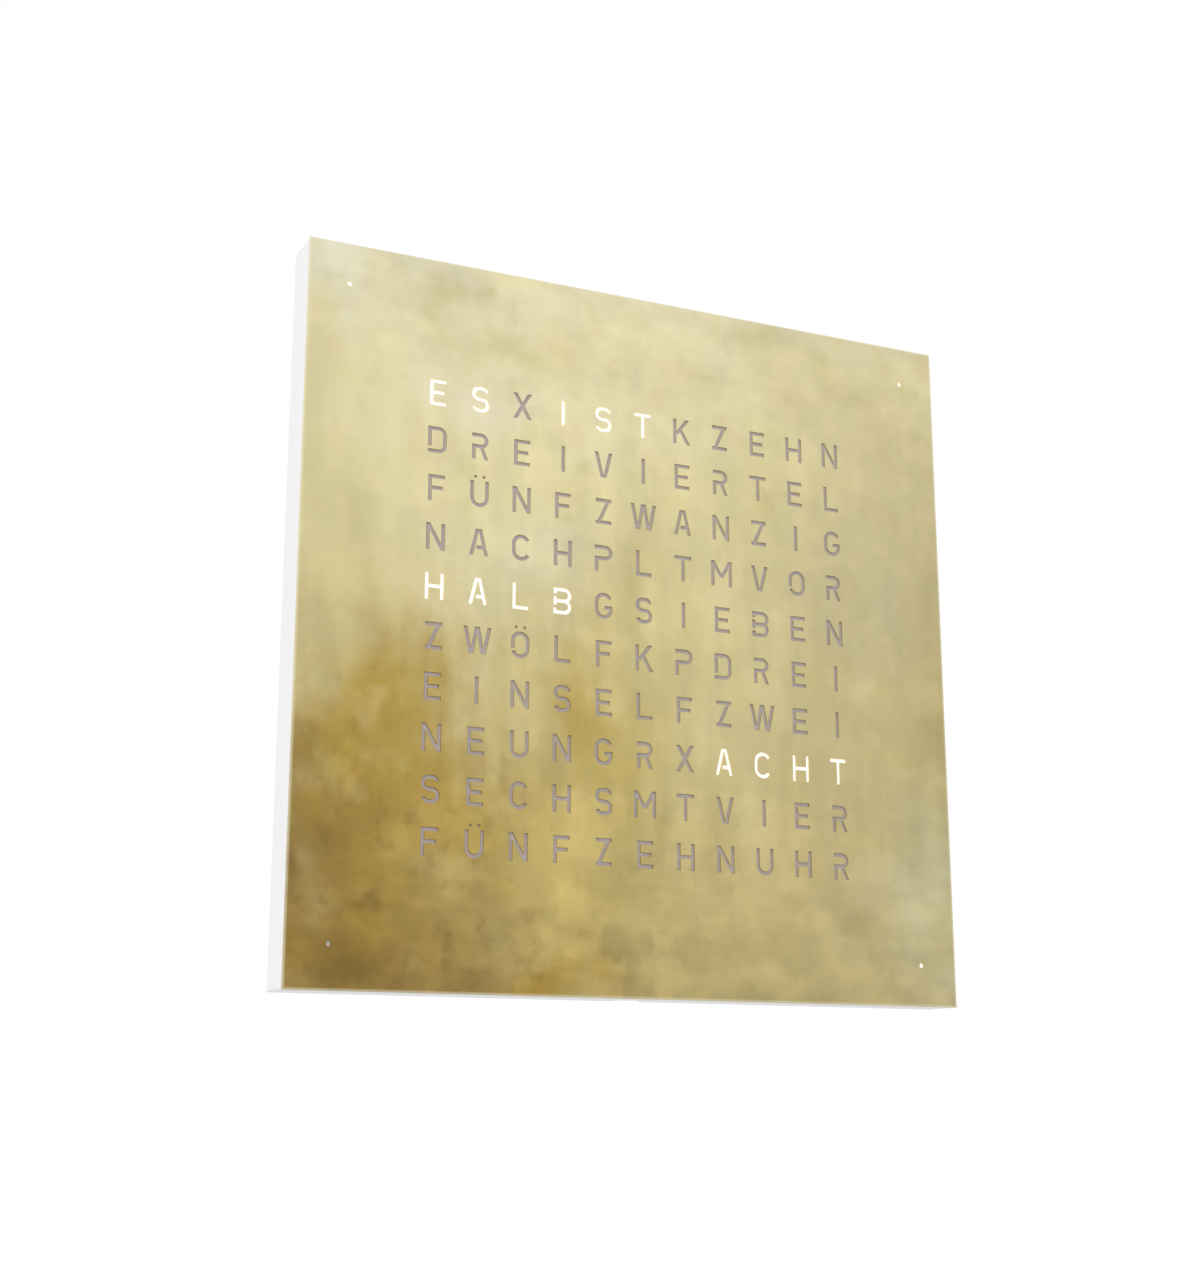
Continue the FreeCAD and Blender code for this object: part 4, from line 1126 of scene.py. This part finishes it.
cans = bmesh.new()
bases = bmesh.new()
foot_z = middle("power_capacitors").z
for can_x in can_places:
    hub = Vector((can_x, 0, foot_z))
    turned(cans, can_profile(can_x, foot_z), hub, (0, 1, 0))
    block = Matrix.Translation(hub + Vector((0, can_high.y - CAN_BASE / 2, 0)))
    sides = Matrix.Diagonal((2 * can_radius, CAN_BASE, 2 * can_radius, 1))
    bmesh.ops.create_cube(bases, size=1.0, matrix=block @ sides)
bmesh.ops.remove_doubles(cans, verts=cans.verts, dist=2 * SAME_POINT)
corners = [e for e in bases.edges if abs(e.verts[0].co.y - e.verts[1].co.y) > CAN_BASE / 2]
bmesh.ops.bevel(
    bases, geom=corners, offset=BASE_CORNER, affect="EDGES", segments=2, profile=0.5, material=-1,
)
settle("capacitor_cans", cans, bright_metal, replaces="power_capacitors")
settle("capacitor_bases", bases, black_plastic, smooth=False)

# %% [markdown]
# ## Solder joints
#
# Each core of the flat cables ends in a joint on the back of its board. A joint is a little
# dome, and there are hundreds, so each is a coarse half ball. Placed one by one they would
# take long to make, but they stand in rows. So one dome is copied along a cable's width,
# that row is copied to the cable's other end, and both are copied down the clock.

# %% Domes at the cable ends
DOME = 0.00042
LINK_LAP = 0.0035

board_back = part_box("row_board_01")[1].y


def half_ball(x, z):
    """A dome on the back of a board."""
    mesh = bmesh.new()
    place = Matrix.Translation(Vector((x, board_back, z))) @ Matrix.Rotation(math.pi / 2, 4, "X")
    bmesh.ops.create_uvsphere(mesh, u_segments=8, v_segments=6, radius=DOME, matrix=place)
    bmesh.ops.bisect_plane(
        mesh, geom=mesh.verts[:] + mesh.edges[:] + mesh.faces[:], dist=SAME_POINT,
        plane_co=(0, board_back, 0), plane_no=(0, -1, 0), clear_outer=True,
    )
    bmesh.ops.holes_fill(mesh, edges=[edge for edge in mesh.edges if edge.is_boundary], sides=8)
    return mesh


def cable_cores(node):
    """The x of a cable's first core, and how many cores it has."""
    count = int(size(node).x / CORE_PITCH)
    return middle(node).x - (count - 1) / 2 * CORE_PITCH, count


def joint_block(node, upper, lower):
    """Two rows of domes, one at each end of a cable."""
    first, count = cable_cores(node)
    mesh = half_ball(first, upper)
    row_of_copies(mesh, Vector((CORE_PITCH, 0, 0)), count - 1)
    row_of_copies(mesh, Vector((0, 0, lower - upper)), 1)
    return mesh


upper_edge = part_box("row_board_01")[0].z + LINK_LAP + 2 * DOME
lower_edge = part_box("row_board_02")[1].z - LINK_LAP - 2 * DOME
link_joints = joint_block("row_links", upper_edge, lower_edge)
row_of_copies(link_joints, Vector((0, 0, -row_pitch)), ROWS - 2)
settle("link_joints", link_joints, bright_metal)
main_low, main_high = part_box("main_ribbon")
main_joints = joint_block("main_ribbon", main_high.z + 2 * DOME, main_low.z - 2 * DOME)
settle("main_joints", main_joints, bright_metal)

# %% [markdown]
# ## Floor, sky and lamps
#
# The clock hangs free over a wide pale floor. The sky is plain white where the camera or a
# mirror looks at it, and dimmer as a light, so that the background stays white without
# burning out the lacquer. Two broad soft lamps in front and one behind give the edges
# some shape.

# %% Floor
FLOOR_DROP = 1.35
FLOOR_REACH = 14.0
FLOOR_LIFT = 0.55
FLOOR_GREY = tint(238, 238, 238)


def make_floor():
    floor_paint = Finish("pale_floor", Roughness=0.9)
    point, x, y, z = floor_paint.place()
    speck = floor_paint.noise(point, 6, 2) - 0.5
    floor_paint.surface(Base_Color=floor_paint.shade(FLOOR_GREY, 1 + speck * 0.01))
    paint = Value(floor_paint, floor_paint.shader.outputs[0])
    ray = floor_paint.node("LightPath", output="Is Camera Ray")
    white = floor_paint.node("Emission", values={"Color": (1, 1, 1, 1), "Strength": FLOOR_LIFT})
    lifted = floor_paint.node("AddShader", values={0: paint, 1: white})
    seen = floor_paint.node("MixShader", values={0: ray, 1: paint, 2: lifted})
    output = floor_paint.tree.nodes["Material Output"]
    floor_paint.feed(output, {"Surface": seen})
    return floor_paint.material


ground = bmesh.new()
flat = Matrix.Translation(Vector((0, 0, -FLOOR_DROP)))
bmesh.ops.create_grid(ground, x_segments=1, y_segments=1, size=FLOOR_REACH, matrix=flat)
floor_mesh = bpy.data.meshes.new("floor")
ground.to_mesh(floor_mesh)
ground.free()
floor = bpy.data.objects.new("floor", floor_mesh)
bpy.context.scene.collection.objects.link(floor)
dress(floor, make_floor())
print("floor lies at z =", -FLOOR_DROP)

# %% Sky
SKY_LIGHT = 0.68

world = bpy.data.worlds.new("white_sky")
bpy.context.scene.world = world
world.use_nodes = True
sky = Recipe(world.node_tree)
seen_white = 0
for kind_of_ray in ("Is Camera Ray", "Is Glossy Ray", "Is Transmission Ray"):
    seen_white = sky.node("LightPath", output=kind_of_ray).either(seen_white)
sky.feed(sky.tree.nodes["Background"], {
    "Color": (1, 1, 1, 1), "Strength": seen_white * (1 - SKY_LIGHT) + SKY_LIGHT,
})
print("sky lights at", SKY_LIGHT)

# %% Lamps: place, power and the length of their sides
LAMPS = {
    "window_lamp": ((-1.8, -2.2, 1.6), 25, 1.8),
    "room_lamp": ((-2.4, -1.2, -0.6), 10, 2.0),
    "back_lamp": ((1.6, 2.4, 1.6), 14, 2.0),
}


def soft_lamp(name, place, power, side):
    data = bpy.data.lights.new(name, "AREA")
    data.shape = "SQUARE"
    data.size = side
    data.energy = power
    lamp = bpy.data.objects.new(name, data)
    lamp.location = place
    lamp.rotation_euler = (-Vector(place)).to_track_quat("-Z", "Y").to_euler()
    bpy.context.scene.collection.objects.link(lamp)


for name, (place, power, side) in LAMPS.items():
    soft_lamp(name, place, power, side)
print("lamps:", ", ".join(LAMPS))

# %% [markdown]
# ## Camera
#
# The clock is seen from below and from its left, as someone sees it who stands close to
# the wall. The camera is level, so the upright edges lean only by perspective.

# %% Camera
CAMERA_PLACE = Vector((-0.5370, -1.0987, -0.2907))
LOOKS_AT = Vector((-0.0230, -0.0160, 0.0030))
FILM_HEIGHT = 36.0
FOCAL_LENGTH = 55.9

camera_data = bpy.data.cameras.new("camera")
camera_data.sensor_fit = "VERTICAL"
camera_data.sensor_height = FILM_HEIGHT
camera_data.lens = FOCAL_LENGTH
camera = bpy.data.objects.new("camera", camera_data)
camera.location = CAMERA_PLACE
camera.rotation_euler = (LOOKS_AT - CAMERA_PLACE).to_track_quat("-Z", "Y").to_euler()
bpy.context.scene.collection.objects.link(camera)
bpy.context.scene.camera = camera
bpy.context.scene.view_settings.view_transform = "Standard"
print("camera is", round((LOOKS_AT - CAMERA_PLACE).length, 3), "m from the clock")

# %% [markdown]
# The dressed clock must not be larger than its solid parts.
